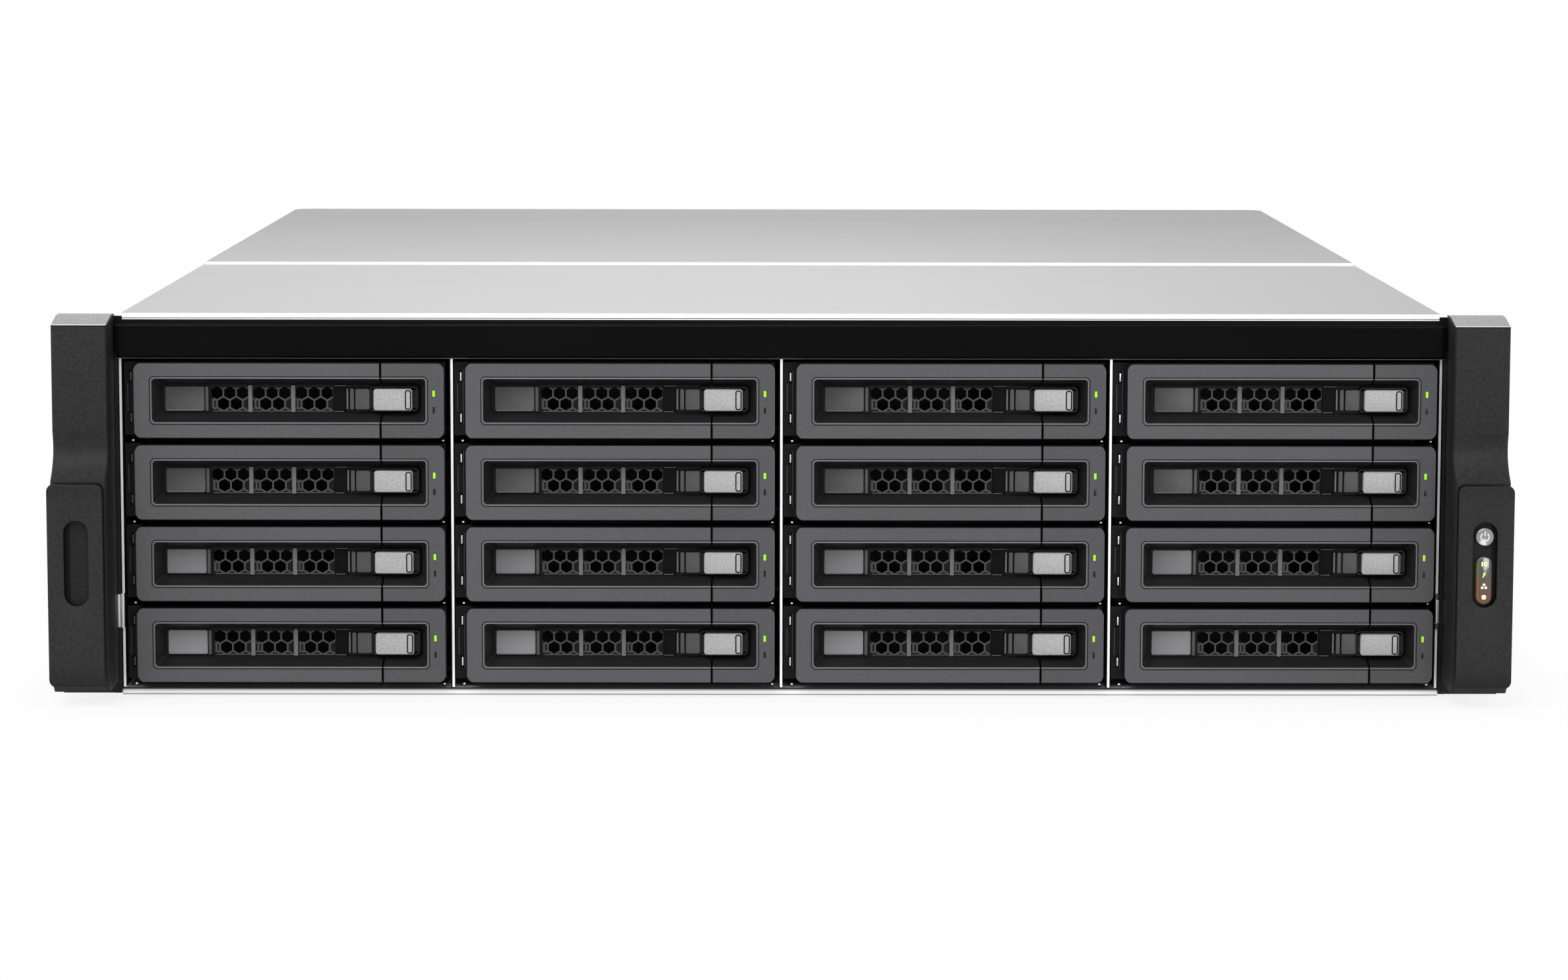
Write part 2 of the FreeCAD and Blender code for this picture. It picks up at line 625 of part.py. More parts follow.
def grille_holes():
    """Groups of six-sided holes between the ribs, in two staggered rows a group."""
    holes = []
    for group_index in range(GRILLE_GROUPS):
        for side, columns in HEX_ROWS:
            for column in columns:
                hole = doc.addObject("Part::Prism", f"grille_hole{len(holes)}")
                hole.Polygon = 6
                hole.Placement = FreeCAD.Placement(
                    FreeCAD.Vector(), TURN["y"] * FreeCAD.Rotation(FreeCAD.Vector(0, 0, 1), 30))
                bind(hole, "Circumradius", "(hex_pitch - hex_wall) / sqrt(3)")
                bind(hole, "Height", "2 * panel_thick")
                place(
                    hole,
                    f"{BEZEL_X} + grille_first + {group_index} * grille_pitch + {column} * hex_pitch",
                    f"{BEZEL_Y} + {PANEL_FRONT} - panel_thick / 2",
                    f"{BEZEL_Z} + {MIDDLE} + {side} * hex_pitch * sqrt(3) / 4",
                )
                holes.append(hole)
    return holes


def latch_slot():
    left = "(latch_left + stem_inset)"
    return tray_box(
        "latch_slot",
        (f"{left} - latch_clear", f"{left} + stem_width + latch_travel + latch_clear"),
        ("0", f"{PANEL_BACK} + panel_thick"),
        centred("(stem_height + 2 * latch_clear)"),
    )


def lever_pivot():
    """A moulded pin through the knuckle; its many flat sides turn in the lever's sockets."""
    pin = doc.addObject("Part::Prism", "lever_pivot")
    pin.Polygon = PIVOT_SIDES
    bind(pin, "Circumradius", "pin_radius")
    bind(pin, "Height", f"bezel_height - 2 * {PIN_END}")
    return place(pin, f"{BEZEL_X} + pivot_inset", f"{BEZEL_Y} + pivot_depth", f"{BEZEL_Z} + {PIN_END}")


def tray_front():
    panel = tray_box("tray_panel", ("-panel_reach", "bezel_width"), (PANEL_FRONT, PANEL_BACK),
                     ("panel_trim", "bezel_height - panel_trim"))
    fixed_end = bezel_piece("end", ("split + split_gap / 2", "bezel_width"), PANEL_FRONT, False)
    guide_rise = f"({PANEL_FRONT} - latch_depth - latch_thick - latch_clear)"
    guide = raised("latch_guide", "(latch_left - guide_margin)", "(latch_width + 2 * guide_margin)",
                   "guide_height", guide_rise)
    ribs = [
        raised(f"rib_{place_name}", f"({place_name} - rib_width / 2)", "rib_width", "rib_height", "rib_rise")
        for place_name in ("rib_one", "rib_two")
    ]
    knuckle = [
        tray_box("knuckle_arm", ("pivot_inset - knuckle_radius", "pivot_inset + knuckle_radius"),
                 ("pivot_depth", PANEL_FRONT), ("knuckle_margin", "bezel_height - knuckle_margin")),
        tray_rod("knuckle_nose", "z", "knuckle_radius", "bezel_height - 2 * knuckle_margin",
                 "pivot_inset", "pivot_depth", "knuckle_margin"),
        lever_pivot(),
    ]
    moulding = fuse("tray_moulding", [panel, fixed_end, guide] + ribs + knuckle)
    return cut("tray_front", moulding, grille_holes() + [latch_slot()])


def tray_sled():
    outer = "(drive_width / 2 + drive_clear + rail_thick)"
    height = ("rail_low", "rail_low + rail_height")
    run = (PANEL_BACK, f"{DRIVE_REAR} + rail_tail")
    left = tray_box("rail_left", (f"{BAY_MIDDLE} - {outer}", f"{BAY_MIDDLE} - {outer} + rail_thick"),
                    run, height)
    right = tray_box("rail_right", (f"{BAY_MIDDLE} + {outer} - rail_thick", f"{BAY_MIDDLE} + {outer}"),
                     run, height)
    across = (f"{BAY_MIDDLE} - {outer}", f"{BAY_MIDDLE} + {outer}")
    low = ("rail_low", "rail_low + bridge_height")
    front = tray_box("sled_front", across, (PANEL_BACK, f"{PANEL_BACK} + rail_thick"), low)
    rear = tray_box("sled_rear", across, (f"{run[1]} - rail_thick", run[1]), low)
    return fuse("tray_sled", [left, right, front, rear])


def tray_drive():
    block = tray_box(
        "drive_block", (f"{BAY_MIDDLE} - drive_width / 2", f"{BAY_MIDDLE} + drive_width / 2"),
        (DRIVE_FRONT, DRIVE_REAR), centred("drive_height"),
    )
    return rounded("tray_drive", block, "drive_edge", runs_along("z"), "Part::Chamfer")


def lever():
    """The swinging frame: window open to the right, slot for the knuckle, sockets for its pivots."""
    frame = bezel_piece("lever", ("0", "split - split_gap / 2"), "bezel_depth", True)
    room = "(knuckle_radius + knuckle_clear)"
    slot = tray_box(
        "lever_slot", ("-bezel_corner", f"pivot_inset + {room}"),
        (f"pivot_depth - {room}", "bezel_depth + panel_clear"),
        ("knuckle_margin - knuckle_clear", "bezel_height - knuckle_margin + knuckle_clear"),
    )
    half = "(pin_radius + pin_clear)"
    socket = tray_box(
        "lever_socket", (f"pivot_inset - {half}", f"pivot_inset + {half}"),
        (f"pivot_depth - {half}", f"pivot_depth + {half}"),
        (f"{PIN_END} - pin_clear", f"bezel_height - {PIN_END} + pin_clear"),
    )
    heel = tray_box("lever_heel", ("-bezel_corner", "2 * pivot_inset"),
                    ("bezel_depth - heel_relief", "bezel_depth + panel_clear"),
                    ("-bezel_corner", "bezel_height + bezel_corner"))
    return cut("lever", frame, [slot, socket, heel])


def latch():
    head = tray_box("latch_head", ("latch_left", "latch_left + latch_width"),
                    ("latch_depth", "latch_depth + latch_thick"), centred("latch_height"))
    stem_left = "(latch_left + stem_inset)"
    stem = tray_box("latch_stem", (stem_left, f"{stem_left} + stem_width"),
                    ("latch_depth + latch_thick", PANEL_BACK), centred("stem_height"))
    return fuse("latch", [head, stem])


def tray_nodes():
    """Tray, lever and latch for every bay. Row 1 is the top row, column 1 the left one."""
    patterns = {
        "tray": group("tray_pattern", [tray_front(), tray_sled(), tray_drive()]),
        "lever": lever(),
        "latch": latch(),
    }
    nodes = []
    for row in range(TRAY_ROWS):
        for column in range(TRAY_COLUMNS):
            for kind, pattern in patterns.items():
                node = group(f"{kind}_r{TRAY_ROWS - row}c{column + 1}", [pattern])
                nodes.append(place(node, f"{column} * bay_pitch", "0", f"{row} * row_pitch"))
    return nodes


# Rack ears, indicator lens and power button

EAR_INNER = f"({SIDE} + ear_gap)"
EAR_OUTER = "(panel_width / 2)"
EAR_MIDDLE = f"(({EAR_INNER} + {EAR_OUTER}) / 2)"
CAP_FRONT = f"({FRONT} - ear_base - cap_rise)"
RECESS_FLOOR = f"({CAP_FRONT} + recess_depth)"


def coordinate(terms):
    """A sketch coordinate as a number and as an expression, from the signed sizes that add up to it."""
    total = sum(-VALUE[term[1:]] if term[0] == "-" else VALUE[term] for term in terms)
    return total, bound(" + ".join(terms))


def pin_point(sketch, kind, index, end, terms):
    """Hold one end of a line or arc at a coordinate from the origin, -1, or on the upright axis, -2."""
    if not terms:
        sketch.addConstraint(Sketcher.Constraint("PointOnObject", index, end, -2))
        return
    value, text = coordinate(terms)
    spot = sketch.addConstraint(Sketcher.Constraint(kind, -1, 1, index, end, value))
    sketch.setExpression(f"Constraints[{spot}]", text)


def ear_profile(body):
    """The ear's side view: across is ahead of the front plane, up is height."""
    sketch = body.newObject("Sketcher::SketchObject", "ear_outline")
    side_plane = [f for f in body.Origin.OriginFeatures if f.Role == "YZ_Plane"][0]
    sketch.AttachmentSupport = (side_plane, [""])
    sketch.MapMode = "FlatFace"
    corners = [
        ([], ["ear_low"]),
        (["ear_base", "-ear_foot"], ["ear_low"]),
        (["ear_base"], ["ear_low", "ear_foot"]),
        (["ear_base"], ["ear_base_top"]),
        (["ear_waist"], ["ear_waist_height"]),
        (["ear_upper"], ["ear_upper_end"]),
        (["ear_upper"], ["pan_height", "-ear_bevel_drop"]),
        (["ear_bevel_back"], ["pan_height", "ear_over"]),
        ([], ["pan_height", "ear_over"]),
    ]
    at = [FreeCAD.Vector(*(coordinate(terms)[0] for terms in pair)) for pair in corners]
    for i, start in enumerate(at):
        end = at[(i + 1) % len(at)]
        if i in EAR_HOLLOWS:
            sketch.addGeometry(hollow_arc(start, end, VALUE[EAR_HOLLOWS[i]]))
        else:
            sketch.addGeometry(Part.LineSegment(start, end))
    for i, (across, up) in enumerate(corners):
        first = end_at(sketch, i, at[i])
        last = end_at(sketch, (i - 1) % len(at), at[i])
        sketch.addConstraint(Sketcher.Constraint("Coincident", (i - 1) % len(at), last, i, first))
        pin_point(sketch, "DistanceX", i, first, across)
        pin_point(sketch, "DistanceY", i, first, up)
    for i in EAR_HOLLOWS:
        sketch.addConstraint(Sketcher.Constraint("Radius", i, sketch.Geometry[i].Radius))
    return sketch


def hollow_arc(start, end, depth):
    """An arc from corner to corner that dips back by depth, drawn counterclockwise, so from its end."""
    dip = Part.Circle(start, (start + end) / 2 - FreeCAD.Vector(depth, 0, 0), end)
    angles = [math.atan2(p.y - dip.Center.y, p.x - dip.Center.x) for p in (end, start)]
    return Part.ArcOfCircle(Part.Circle(dip.Center, FreeCAD.Vector(0, 0, 1), dip.Radius), *angles)


def end_at(sketch, index, corner):
    """1 or 2: which end of a line or arc lies at the corner."""
    edge = sketch.Geometry[index]
    return 1 if edge.StartPoint.distanceToPoint(corner) < edge.EndPoint.distanceToPoint(corner) else 2


def left_ear_block():
    body = doc.addObject("PartDesign::Body", "ear_body")
    sketch = ear_profile(body)
    pad = body.newObject("PartDesign::Pad", "ear_pad")
    pad.Profile = sketch
    bind(pad, "Length", f"{EAR_OUTER} - {EAR_INNER}")
    body.Placement = FreeCAD.Placement(FreeCAD.Vector(), FreeCAD.Rotation(FreeCAD.Vector(0, 0, 1), 180))
    return place(body, f"-{EAR_INNER}", FRONT, "0")


def ear_cap():
    cap = box(
        "cap_block", (f"-{EAR_OUTER} + cap_margin", f"-{EAR_INNER} - cap_inset"),
        (CAP_FRONT, f"{FRONT} - ear_base"), ("cap_low", "cap_high"),
    )
    doc.recompute()
    front = cap.Shape.BoundBox.YMin

    def outer_edge(edge):
        return edge.BoundBox.YMax < front + TINY
    return rounded("ear_cap", cap, "cap_round", outer_edge)


def left_ear():
    bracket = box("ear_bracket", (f"-{EAR_INNER}", f"-{SIDE}"), (FRONT, f"{FRONT} + bracket_length"),
                  ("bracket_low", "bracket_high"))
    heel = box("ear_heel", (f"-{EAR_INNER} - wall", f"-{SIDE}"), (f"{FRONT} - wall", FRONT),
               ("heel_low", f"{COVER_TOP} - flange_drop - flange_clear"))
    recess = oval("ear_recess", "recess_width", "recess_height", f"-{EAR_MIDDLE}", CAP_FRONT,
                  "recess_middle", "recess_depth")
    solid = fuse("ear_solid", [left_ear_block(), ear_cap(), bracket, heel])
    return cut("left_ear", solid, [recess])


def button_solid(name, extra, inner_end):
    """The round button along the recess's middle, or the bore for it where extra is its clearance."""
    return rod(name, "y", f"button_radius + {extra}", f"button_rise + {inner_end}", EAR_MIDDLE,
               f"{RECESS_FLOOR} - button_rise", "button_middle")


def rack_ears():
    left = left_ear()
    mirrored = doc.addObject("Part::Mirroring", "ear_mirror")
    mirrored.Source = left
    mirrored.Normal = FreeCAD.Vector(1, 0, 0)
    bore = button_solid("button_bore", "button_clear", "button_sink + button_travel + button_clear")
    right = cut("right_ear", mirrored, [bore])
    lens = oval("indicator_lens", "lens_width", "lens_height", EAR_MIDDLE,
                f"({RECESS_FLOOR} - lens_rise)", "lens_middle", "lens_rise")
    return group("rack_ears", [left, right, lens])


def power_button():
    return group("power_button", [button_solid("button_rod", "0", "button_sink")])


# Power supplies

def supply(name, floor):
    """A hot-swap supply: case, face plate, handle, mains inlet and vent slots."""
    x = (SUPPLY_LEFT, SUPPLY_RIGHT)
    z = (floor, f"{floor} + supply_height")
    face_y = (REAR, f"{REAR} + supply_face")
    back = face_y[1]
    case = box(name + "_case", x, (f"{REAR} - wall - supply_length", REAR), z)
    face = box(name + "_face", (f"{x[0]} - supply_lip", f"{x[1]} + supply_lip"), face_y, z)
    handle_left = f"({x[0]} + (supply_width - handle_width) / 2)"
    handle_z = (f"{z[1]} - handle_margin - handle_bar", f"{z[1]} - handle_margin")
    loop = box(name + "_loop", (handle_left, f"{handle_left} + handle_width"),
               (back, f"{back} + handle_reach"), handle_z)
    gap = box(name + "_gap",
              (f"{handle_left} + handle_bar", f"{handle_left} + handle_width - handle_bar"),
              (back, f"{back} + handle_reach - handle_bar"),
              (f"{handle_z[0]} - wall", f"{handle_z[1]} + wall"))
    handle = cut(name + "_handle", loop, [gap])
    inlet_x = f"({x[0]} + inlet_margin)"
    inlet_z = f"({floor} + inlet_low)"
    tools = [box(name + "_inlet", (inlet_x, f"{inlet_x} + inlet_width"),
                 (f"{back} - inlet_depth", f"{back} + wall"), (inlet_z, f"{inlet_z} + inlet_height"))]
    first = f"({inlet_x} + inlet_width + inlet_margin)"
    for i in range(VENT_SLOTS):
        start = f"{first} + {i} * vent_pitch"
        tools.append(box(f"{name}_vent{i}", (start, f"{start} + vent_slot"),
                         (f"{back} - vent_depth", f"{back} + wall"), (inlet_z, f"{inlet_z} + vent_height")))
    return cut(name, fuse(name + "_shell", [case, face, handle]), tools)


# Fans: frame with motor plate, and rotor

FAN_BACK = f"({REAR} - wall)"
FAN_FRONT = f"({FAN_BACK} - fan_depth)"


def fan_frame(name, axis_x):
    half = "fan_size / 2"
    middle = "fan_middle_height"
    frame = box(name + "_block", (f"{axis_x} - {half}", f"{axis_x} + {half}"), (FAN_FRONT, FAN_BACK),
                (f"{middle} - {half}", f"{middle} + {half}"))
    bore = rod(name + "_bore", "y", "fan_bore", "fan_depth", axis_x, FAN_FRONT, middle)
    reach = "(fan_bore + wall)"
    strut_y = (FAN_FRONT, f"{FAN_FRONT} + stator_thick")
    parts = [
        cut(name + "_ring", frame, [bore]),
        box(name + "_strut_x", (f"{axis_x} - {reach}", f"{axis_x} + {reach}"), strut_y,
            (f"{middle} - fan_strut / 2", f"{middle} + fan_strut / 2")),
        box(name + "_strut_z", (f"{axis_x} - fan_strut / 2", f"{axis_x} + fan_strut / 2"), strut_y,
            (f"{middle} - {reach}", f"{middle} + {reach}")),
        rod(name + "_stator", "y", "stator_radius", "stator_thick", axis_x, FAN_FRONT, middle),
        rod(name + "_spindle", "y", "spindle_radius", "stator_thick + spindle_length", axis_x, FAN_FRONT,
            middle),
    ]
    return fuse(name, parts)


def fan_frames():
    return group("fan_frames", [fan_frame(f"fan_frame{i}", axis_x) for i, axis_x in enumerate(FAN_AXES)])


def fan_rotor(name, axis_x):
    """Hub on its spindle with pitched blades."""
    start = f"({FAN_FRONT} + stator_thick + hub_gap)"
    middle = "fan_middle_height"
    hub = rod(name + "_hub", "y", "hub_radius", "hub_length", axis_x, start, middle)
    blade = box(name + "_blade", ("hub_radius / 2", "blade_radius"),
                ("-blade_chord / 2", "blade_chord / 2"), ("-blade_thick / 2", "blade_thick / 2"))
    pitch = FreeCAD.Rotation(FreeCAD.Vector(1, 0, 0), BLADE_PITCH)
    parts = [hub]
    for i in range(FAN_BLADES):
        turned = group(f"{name}_blade{i}", [blade])
        about_axis = FreeCAD.Rotation(FreeCAD.Vector(0, 1, 0), 360 * i / FAN_BLADES)
        turned.Placement = FreeCAD.Placement(FreeCAD.Vector(), about_axis * pitch)
        parts.append(place(turned, axis_x, f"{start} + hub_length / 2", middle))
    bore = rod(name + "_bore", "y", "spindle_radius + spindle_clear",
               "spindle_length - hub_gap + spindle_clear", axis_x, start, middle)
    return cut(name, fuse(name + "_solid", parts), [bore])


# Circuit boards

BOARD_REAR = f"({REAR} - wall - board_margin)"


def backplane():
    edge = f"({SIDE} - wall - backplane_margin)"
    return box("backplane", (f"-{edge}", edge), (BACKPLANE, f"{BACKPLANE} + board_thick"),
               ("wall + backplane_margin", "pan_height - backplane_margin"))


def drive_sockets():
    sockets = []
    for row in range(TRAY_ROWS):
        for column in range(TRAY_COLUMNS):
            middle = f"(({column} + 0.5) * bay_pitch - {TRAY_COLUMNS} * bay_pitch / 2)"
            low = f"(tray_low + {row} * row_pitch + {MIDDLE} - socket_height / 2)"
            sockets.append(box(
                f"socket{row}{column}", (f"{middle} - socket_width / 2", f"{middle} + socket_width / 2"),
                (f"{BACKPLANE} - socket_depth", BACKPLANE), (low, f"{low} + socket_height"),
            ))
    return sockets


def main_board():
    board = box("main_board", ("board_left", "board_right"), (f"{BOARD_REAR} - board_length", BOARD_REAR),
                ("board_low", BOARD_TOP))
    posts = []
    for i, x in enumerate(("board_left + standoff_inset", "board_right - standoff_inset")):
        for j, y in enumerate(("standoff_inset", "board_length - standoff_inset")):
            post = doc.addObject("Part::Prism", f"standoff{i}{j}")
            post.Polygon = 6
            bind(post, "Circumradius", "standoff_radius")
            bind(post, "Height", "board_low - wall")
            posts.append(place(post, x, f"{BOARD_REAR} - {y}", "wall"))
    return [board] + posts


def heat_sink():
    left = "(board_left + board_right - sink_width) / 2"
    front = f"({BOARD_REAR} - board_length / 2)"
    base = box("sink_base", (left, f"{left} + sink_width"), (front, f"{front} + sink_width"),
               (BOARD_TOP, f"{BOARD_TOP} + sink_base"))
    pitch = f"((sink_width - fin_thick) / {HEAT_FINS - 1})"
    fins = []
    for i in range(HEAT_FINS):
        start = f"{left} + {i} * {pitch}"
        fins.append(box(f"fin{i}", (start, f"{start} + fin_thick"), (front, f"{front} + sink_width"),
                        (f"{BOARD_TOP} + sink_base", f"{BOARD_TOP} + sink_height")))
    return fuse("heat_sink", [base] + fins)


def memory_modules():
    front = f"({BOARD_REAR} - board_length + standoff_inset)"
    modules = []
    for i in range(2):
        y = f"({front} + 2 * standoff_inset + {i} * 3 * memory_thick)"
        middle = "(board_left + board_right) / 2"
        modules.append(box(
            f"memory{i}", (f"{middle} - memory_length / 2", f"{middle} + memory_length / 2"),
            (y, f"{y} + memory_thick"), (BOARD_TOP, f"{BOARD_TOP} + memory_height"),
        ))
    return modules


def network_jacks():
    """Two by two jacks in one housing, mouths to the rear."""
    left = "(port_left + port_gap)"
    housing = box("jack_housing", (left, f"{left} + {JACK_COLUMNS} * jack_width"),
                  (f"{REAR} - jack_depth", REAR), (BOARD_TOP, f"{BOARD_TOP} + {JACK_ROWS} * jack_height"))
    mouths = []
    for i in range(JACK_COLUMNS):
        for j in range(JACK_ROWS):
            x = f"({left} + {i} * jack_width + (jack_width - jack_mouth_width) / 2)"
            z = f"({BOARD_TOP} + {j} * jack_height + (jack_height - jack_mouth_height) / 2)"
            mouths.append(box(f"jack_mouth{i}{j}", (x, f"{x} + jack_mouth_width"),
                              (f"{REAR} - jack_mouth_depth", f"{REAR} + wall"),
                              (z, f"{z} + jack_mouth_height")))
    return cut("network_jacks", housing, mouths)


def serial_ports(index):
    """A stacked pair of flat ports, mouths to the rear."""
    jacks = f"{JACK_COLUMNS} * jack_width"
    left = f"(port_left + 2 * port_gap + {jacks} + {index} * (usb_width + port_gap))"
    housing = box(f"usb_housing{index}", (left, f"{left} + usb_width"), (f"{REAR} - usb_depth", REAR),
                  (BOARD_TOP, f"{BOARD_TOP} + usb_height"))
    mouths = []
    for j in range(2):
        x = f"({left} + (usb_width - usb_mouth_width) / 2)"
        z = f"({BOARD_TOP} + {j} * usb_height / 2 + (usb_height / 2 - usb_mouth_height) / 2)"
        mouths.append(box(f"usb_mouth{index}{j}", (x, f"{x} + usb_mouth_width"),
                          (f"{REAR} - usb_mouth_depth", f"{REAR} + wall"), (z, f"{z} + usb_mouth_height")))
    return cut(f"usb_pair{index}", housing, mouths)


def circuit_boards():
    solids = [backplane()] + drive_sockets() + main_board() + [heat_sink()] + memory_modules()
    pairs = [serial_ports(i) for i in range(SERIAL_PAIRS)]
    return group("circuit_boards", solids + [network_jacks()] + pairs)


# Every node, then the checks and the files

def all_nodes():
    nodes = [chassis_pan(), drive_cage(), rear_lid(), fascia_strip(), rack_ears(), power_button()]
    nodes += [supply("supply_lower", SUPPLY_FLOORS[0]), supply("supply_upper", SUPPLY_FLOORS[1])]
    nodes += [fan_frames(), circuit_boards()]
    nodes += [fan_rotor("fan_rotor_left", FAN_AXES[0]), fan_rotor("fan_rotor_right", FAN_AXES[1])]
    return nodes + tray_nodes()


def faults(nodes):
    bad = [thing.Label for thing in doc.Objects if {"Invalid", "Error"} & set(thing.State)]
    bad += [node.Label for node in nodes if node.Shape.isNull() or not node.Shape.isValid()]
    return bad


def main():
    nodes = all_nodes()
    doc.recompute()
    bad = faults(nodes)
    if bad:
        raise RuntimeError("failed pieces: " + ", ".join(bad))
    os.makedirs("parts", exist_ok=True)
    for node in nodes:
        node.Shape.exportStep(f"parts/{node.Label}.step")
    print(len(nodes), "nodes,", sum(len(node.Shape.Solids) for node in nodes), "solids")


main()
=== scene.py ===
# %% [markdown]
# # A rackmount storage server, dressed for the camera
# The solid model already has every sheet, tray, lever and fan in place. This lesson gives each of them a finish,
# and adds the thin things that a solid model leaves out: pads, rim beads, lamps, screws and wire guards. The rack
# ears, the latches and the power button are moulded again here, with finer edges.
# Blender counts in metres. Shapes are written in millimetres below, and become metres when a piece is made. The
# server stands on the floor at height 0 with its front towards -Y.

# %% Load the solid model
import math

import bpy
import numpy as np
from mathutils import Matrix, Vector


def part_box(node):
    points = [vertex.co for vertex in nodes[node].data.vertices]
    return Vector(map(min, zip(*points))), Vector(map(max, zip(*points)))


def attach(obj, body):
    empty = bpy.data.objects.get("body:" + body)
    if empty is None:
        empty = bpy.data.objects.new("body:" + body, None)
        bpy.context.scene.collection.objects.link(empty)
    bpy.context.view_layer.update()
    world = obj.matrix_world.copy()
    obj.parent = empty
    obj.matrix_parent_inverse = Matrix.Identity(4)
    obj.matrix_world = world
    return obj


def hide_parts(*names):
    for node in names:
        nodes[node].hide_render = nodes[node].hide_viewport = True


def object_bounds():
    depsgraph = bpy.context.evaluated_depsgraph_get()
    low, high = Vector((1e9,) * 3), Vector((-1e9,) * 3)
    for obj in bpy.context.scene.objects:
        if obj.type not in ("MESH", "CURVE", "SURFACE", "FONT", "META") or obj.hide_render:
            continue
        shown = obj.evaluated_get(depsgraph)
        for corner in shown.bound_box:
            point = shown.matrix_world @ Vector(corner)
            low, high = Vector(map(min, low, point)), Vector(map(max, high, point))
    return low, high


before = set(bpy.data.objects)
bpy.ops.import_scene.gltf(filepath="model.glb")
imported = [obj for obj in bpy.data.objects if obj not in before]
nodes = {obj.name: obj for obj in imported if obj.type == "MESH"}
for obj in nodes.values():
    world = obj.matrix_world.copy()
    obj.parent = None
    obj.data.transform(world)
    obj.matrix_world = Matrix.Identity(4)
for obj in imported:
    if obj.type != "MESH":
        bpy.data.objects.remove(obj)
cad_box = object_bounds()
MM = 0.001

# %% [markdown]
# ## Surfaces from arrays
# A small moulded piece is a stack of closed rings: the outline at the back, the same outline further forward, and
# slightly smaller outlines where its front edge is rounded. If the rings are rows of one array, the walls between
# them are index arithmetic, and no loop ever visits a vertex. A bead or a wire is the same idea: its rings are a
# circle carried along a path.

# %% Rings to a closed surface
def stack(rings):
    """Closed surface over a stack of rings.

    Walls join point j of ring i to its neighbours in both directions, and the two end rings are covered.
    """
    rings = np.asarray(rings, float)
    index = np.arange(rings.shape[0] * rings.shape[1]).reshape(rings.shape[:2])
    after = np.roll(index, -1, axis=1)
    walls = np.stack([index[:-1], after[:-1], after[1:], index[1:]], axis=-1).reshape(-1, 4)
    return outward(rings.reshape(-1, 3), walls, [index[0, ::-1].tolist(), index[-1].tolist()])


def outward(points, walls, covers):
    """Turn the faces round if the walls, seen from the middle, face inwards."""
    a, b, c, d = (points[walls[:, k]] for k in range(4))
    facing = np.cross(c - a, d - b)
    away = (a + b + c + d) / 4 - points.mean(axis=0)
    if (facing * away).sum() < 0:
        walls = walls[:, ::-1]
        covers = [cover[::-1] for cover in covers]
    return points, walls.tolist() + covers


def join(shapes):
    """Several surfaces as one list of points and faces, each counted on from the one before."""
    points, faces, start = [], [], 0
    for some_points, some_faces in shapes:
        points.append(some_points)
        faces += [[start + i for i in face] for face in some_faces]
        start += len(some_points)
    return np.concatenate(points), faces


print("a ring stack of 3 x 8 points has", len(stack(np.random.default_rng(1).random((3, 8, 3)))[1]), "faces")

# %% Outlines and slabs
CORNER_STEPS = 6
EDGE_TURN = np.linspace(0, np.pi / 2, 4)


def outline(width, height, corner):
    """A rectangle with round corners: a quarter circle of the corner's radius about each of four centres."""
    corner = max(corner, 1e-4)
    angle = np.linspace(0, np.pi / 2, CORNER_STEPS) + np.arange(4)[:, None] * np.pi / 2
    centre_u = np.array([1, -1, -1, 1])[:, None] * (width / 2 - corner)
    centre_v = np.array([1, 1, -1, -1])[:, None] * (height / 2 - corner)
    points = [centre_u + corner * np.cos(angle), centre_v + corner * np.sin(angle)]
    return np.stack(points, axis=-1).reshape(-1, 2)


def upright(u, v, width, height, corner, w):
    """The rounded rectangle about (u, v) as a ring at depth w."""
    flat = outline(width, height, corner)
    return np.column_stack([u + flat[:, 0], np.full(len(flat), w), v + flat[:, 1]])


def slab(u, v, width, height, corner, back, front, edge):
    """An upright plate about (u, v) from depth back to front; its front edge is a quarter round of size edge."""
    inset = np.concatenate([[0], edge * (1 - np.cos(EDGE_TURN))])
    depth = np.concatenate([[back], front + edge * (1 - np.sin(EDGE_TURN))])
    return stack([upright(u, v, width - 2 * i, height - 2 * i, corner - i, w) for i, w in zip(inset, depth)])


print("outline points:", len(outline(2, 1, 0.2)))

# %% Beads and turned pieces
def bead(path, radius, closed, towards=(0, -1, 0), steps=10):
    """A round wire: a circle of the radius carried along the path, in the plane of the side and towards vectors."""
    path = np.asarray(path, float)
    if closed:
        run = np.roll(path, -1, axis=0) - np.roll(path, 1, axis=0)
    else:
        run = np.gradient(path, axis=0)
    run /= np.linalg.norm(run, axis=1)[:, None]
    towards = np.broadcast_to(np.asarray(towards, float), run.shape)
    side = np.cross(run, towards)
    side /= np.linalg.norm(side, axis=1)[:, None]
    front = np.cross(side, run)
    turn = np.linspace(0, 2 * np.pi, steps, endpoint=False)[None, :, None]
    rings = path[:, None] + radius * (np.cos(turn) * side[:, None] + np.sin(turn) * front[:, None])
    return loop(rings, side, front) if closed else stack(rings)


def loop(rings, side, front):
    """Like a stack of rings, but the last ring joins the first, so there are no covers."""
    index = np.arange(rings.shape[0] * rings.shape[1]).reshape(rings.shape[:2])
    after, ahead = np.roll(index, -1, axis=1), np.roll(index, -1, axis=0)
    both = np.roll(after, -1, axis=0)
    along = np.cross(side[0], front[0]) @ (rings[1].mean(axis=0) - rings[0].mean(axis=0)) > 0
    corners = [index, after, both, ahead] if along else [index, ahead, both, after]
    return rings.reshape(-1, 3), np.stack(corners, axis=-1).reshape(-1, 4).tolist()


def frame_ring(u, v, width, height, corner, radius, w):
    """A closed bead of the radius along a rounded rectangle about (u, v) at depth w."""
    return bead(upright(u, v, width, height, corner, w), radius, True)


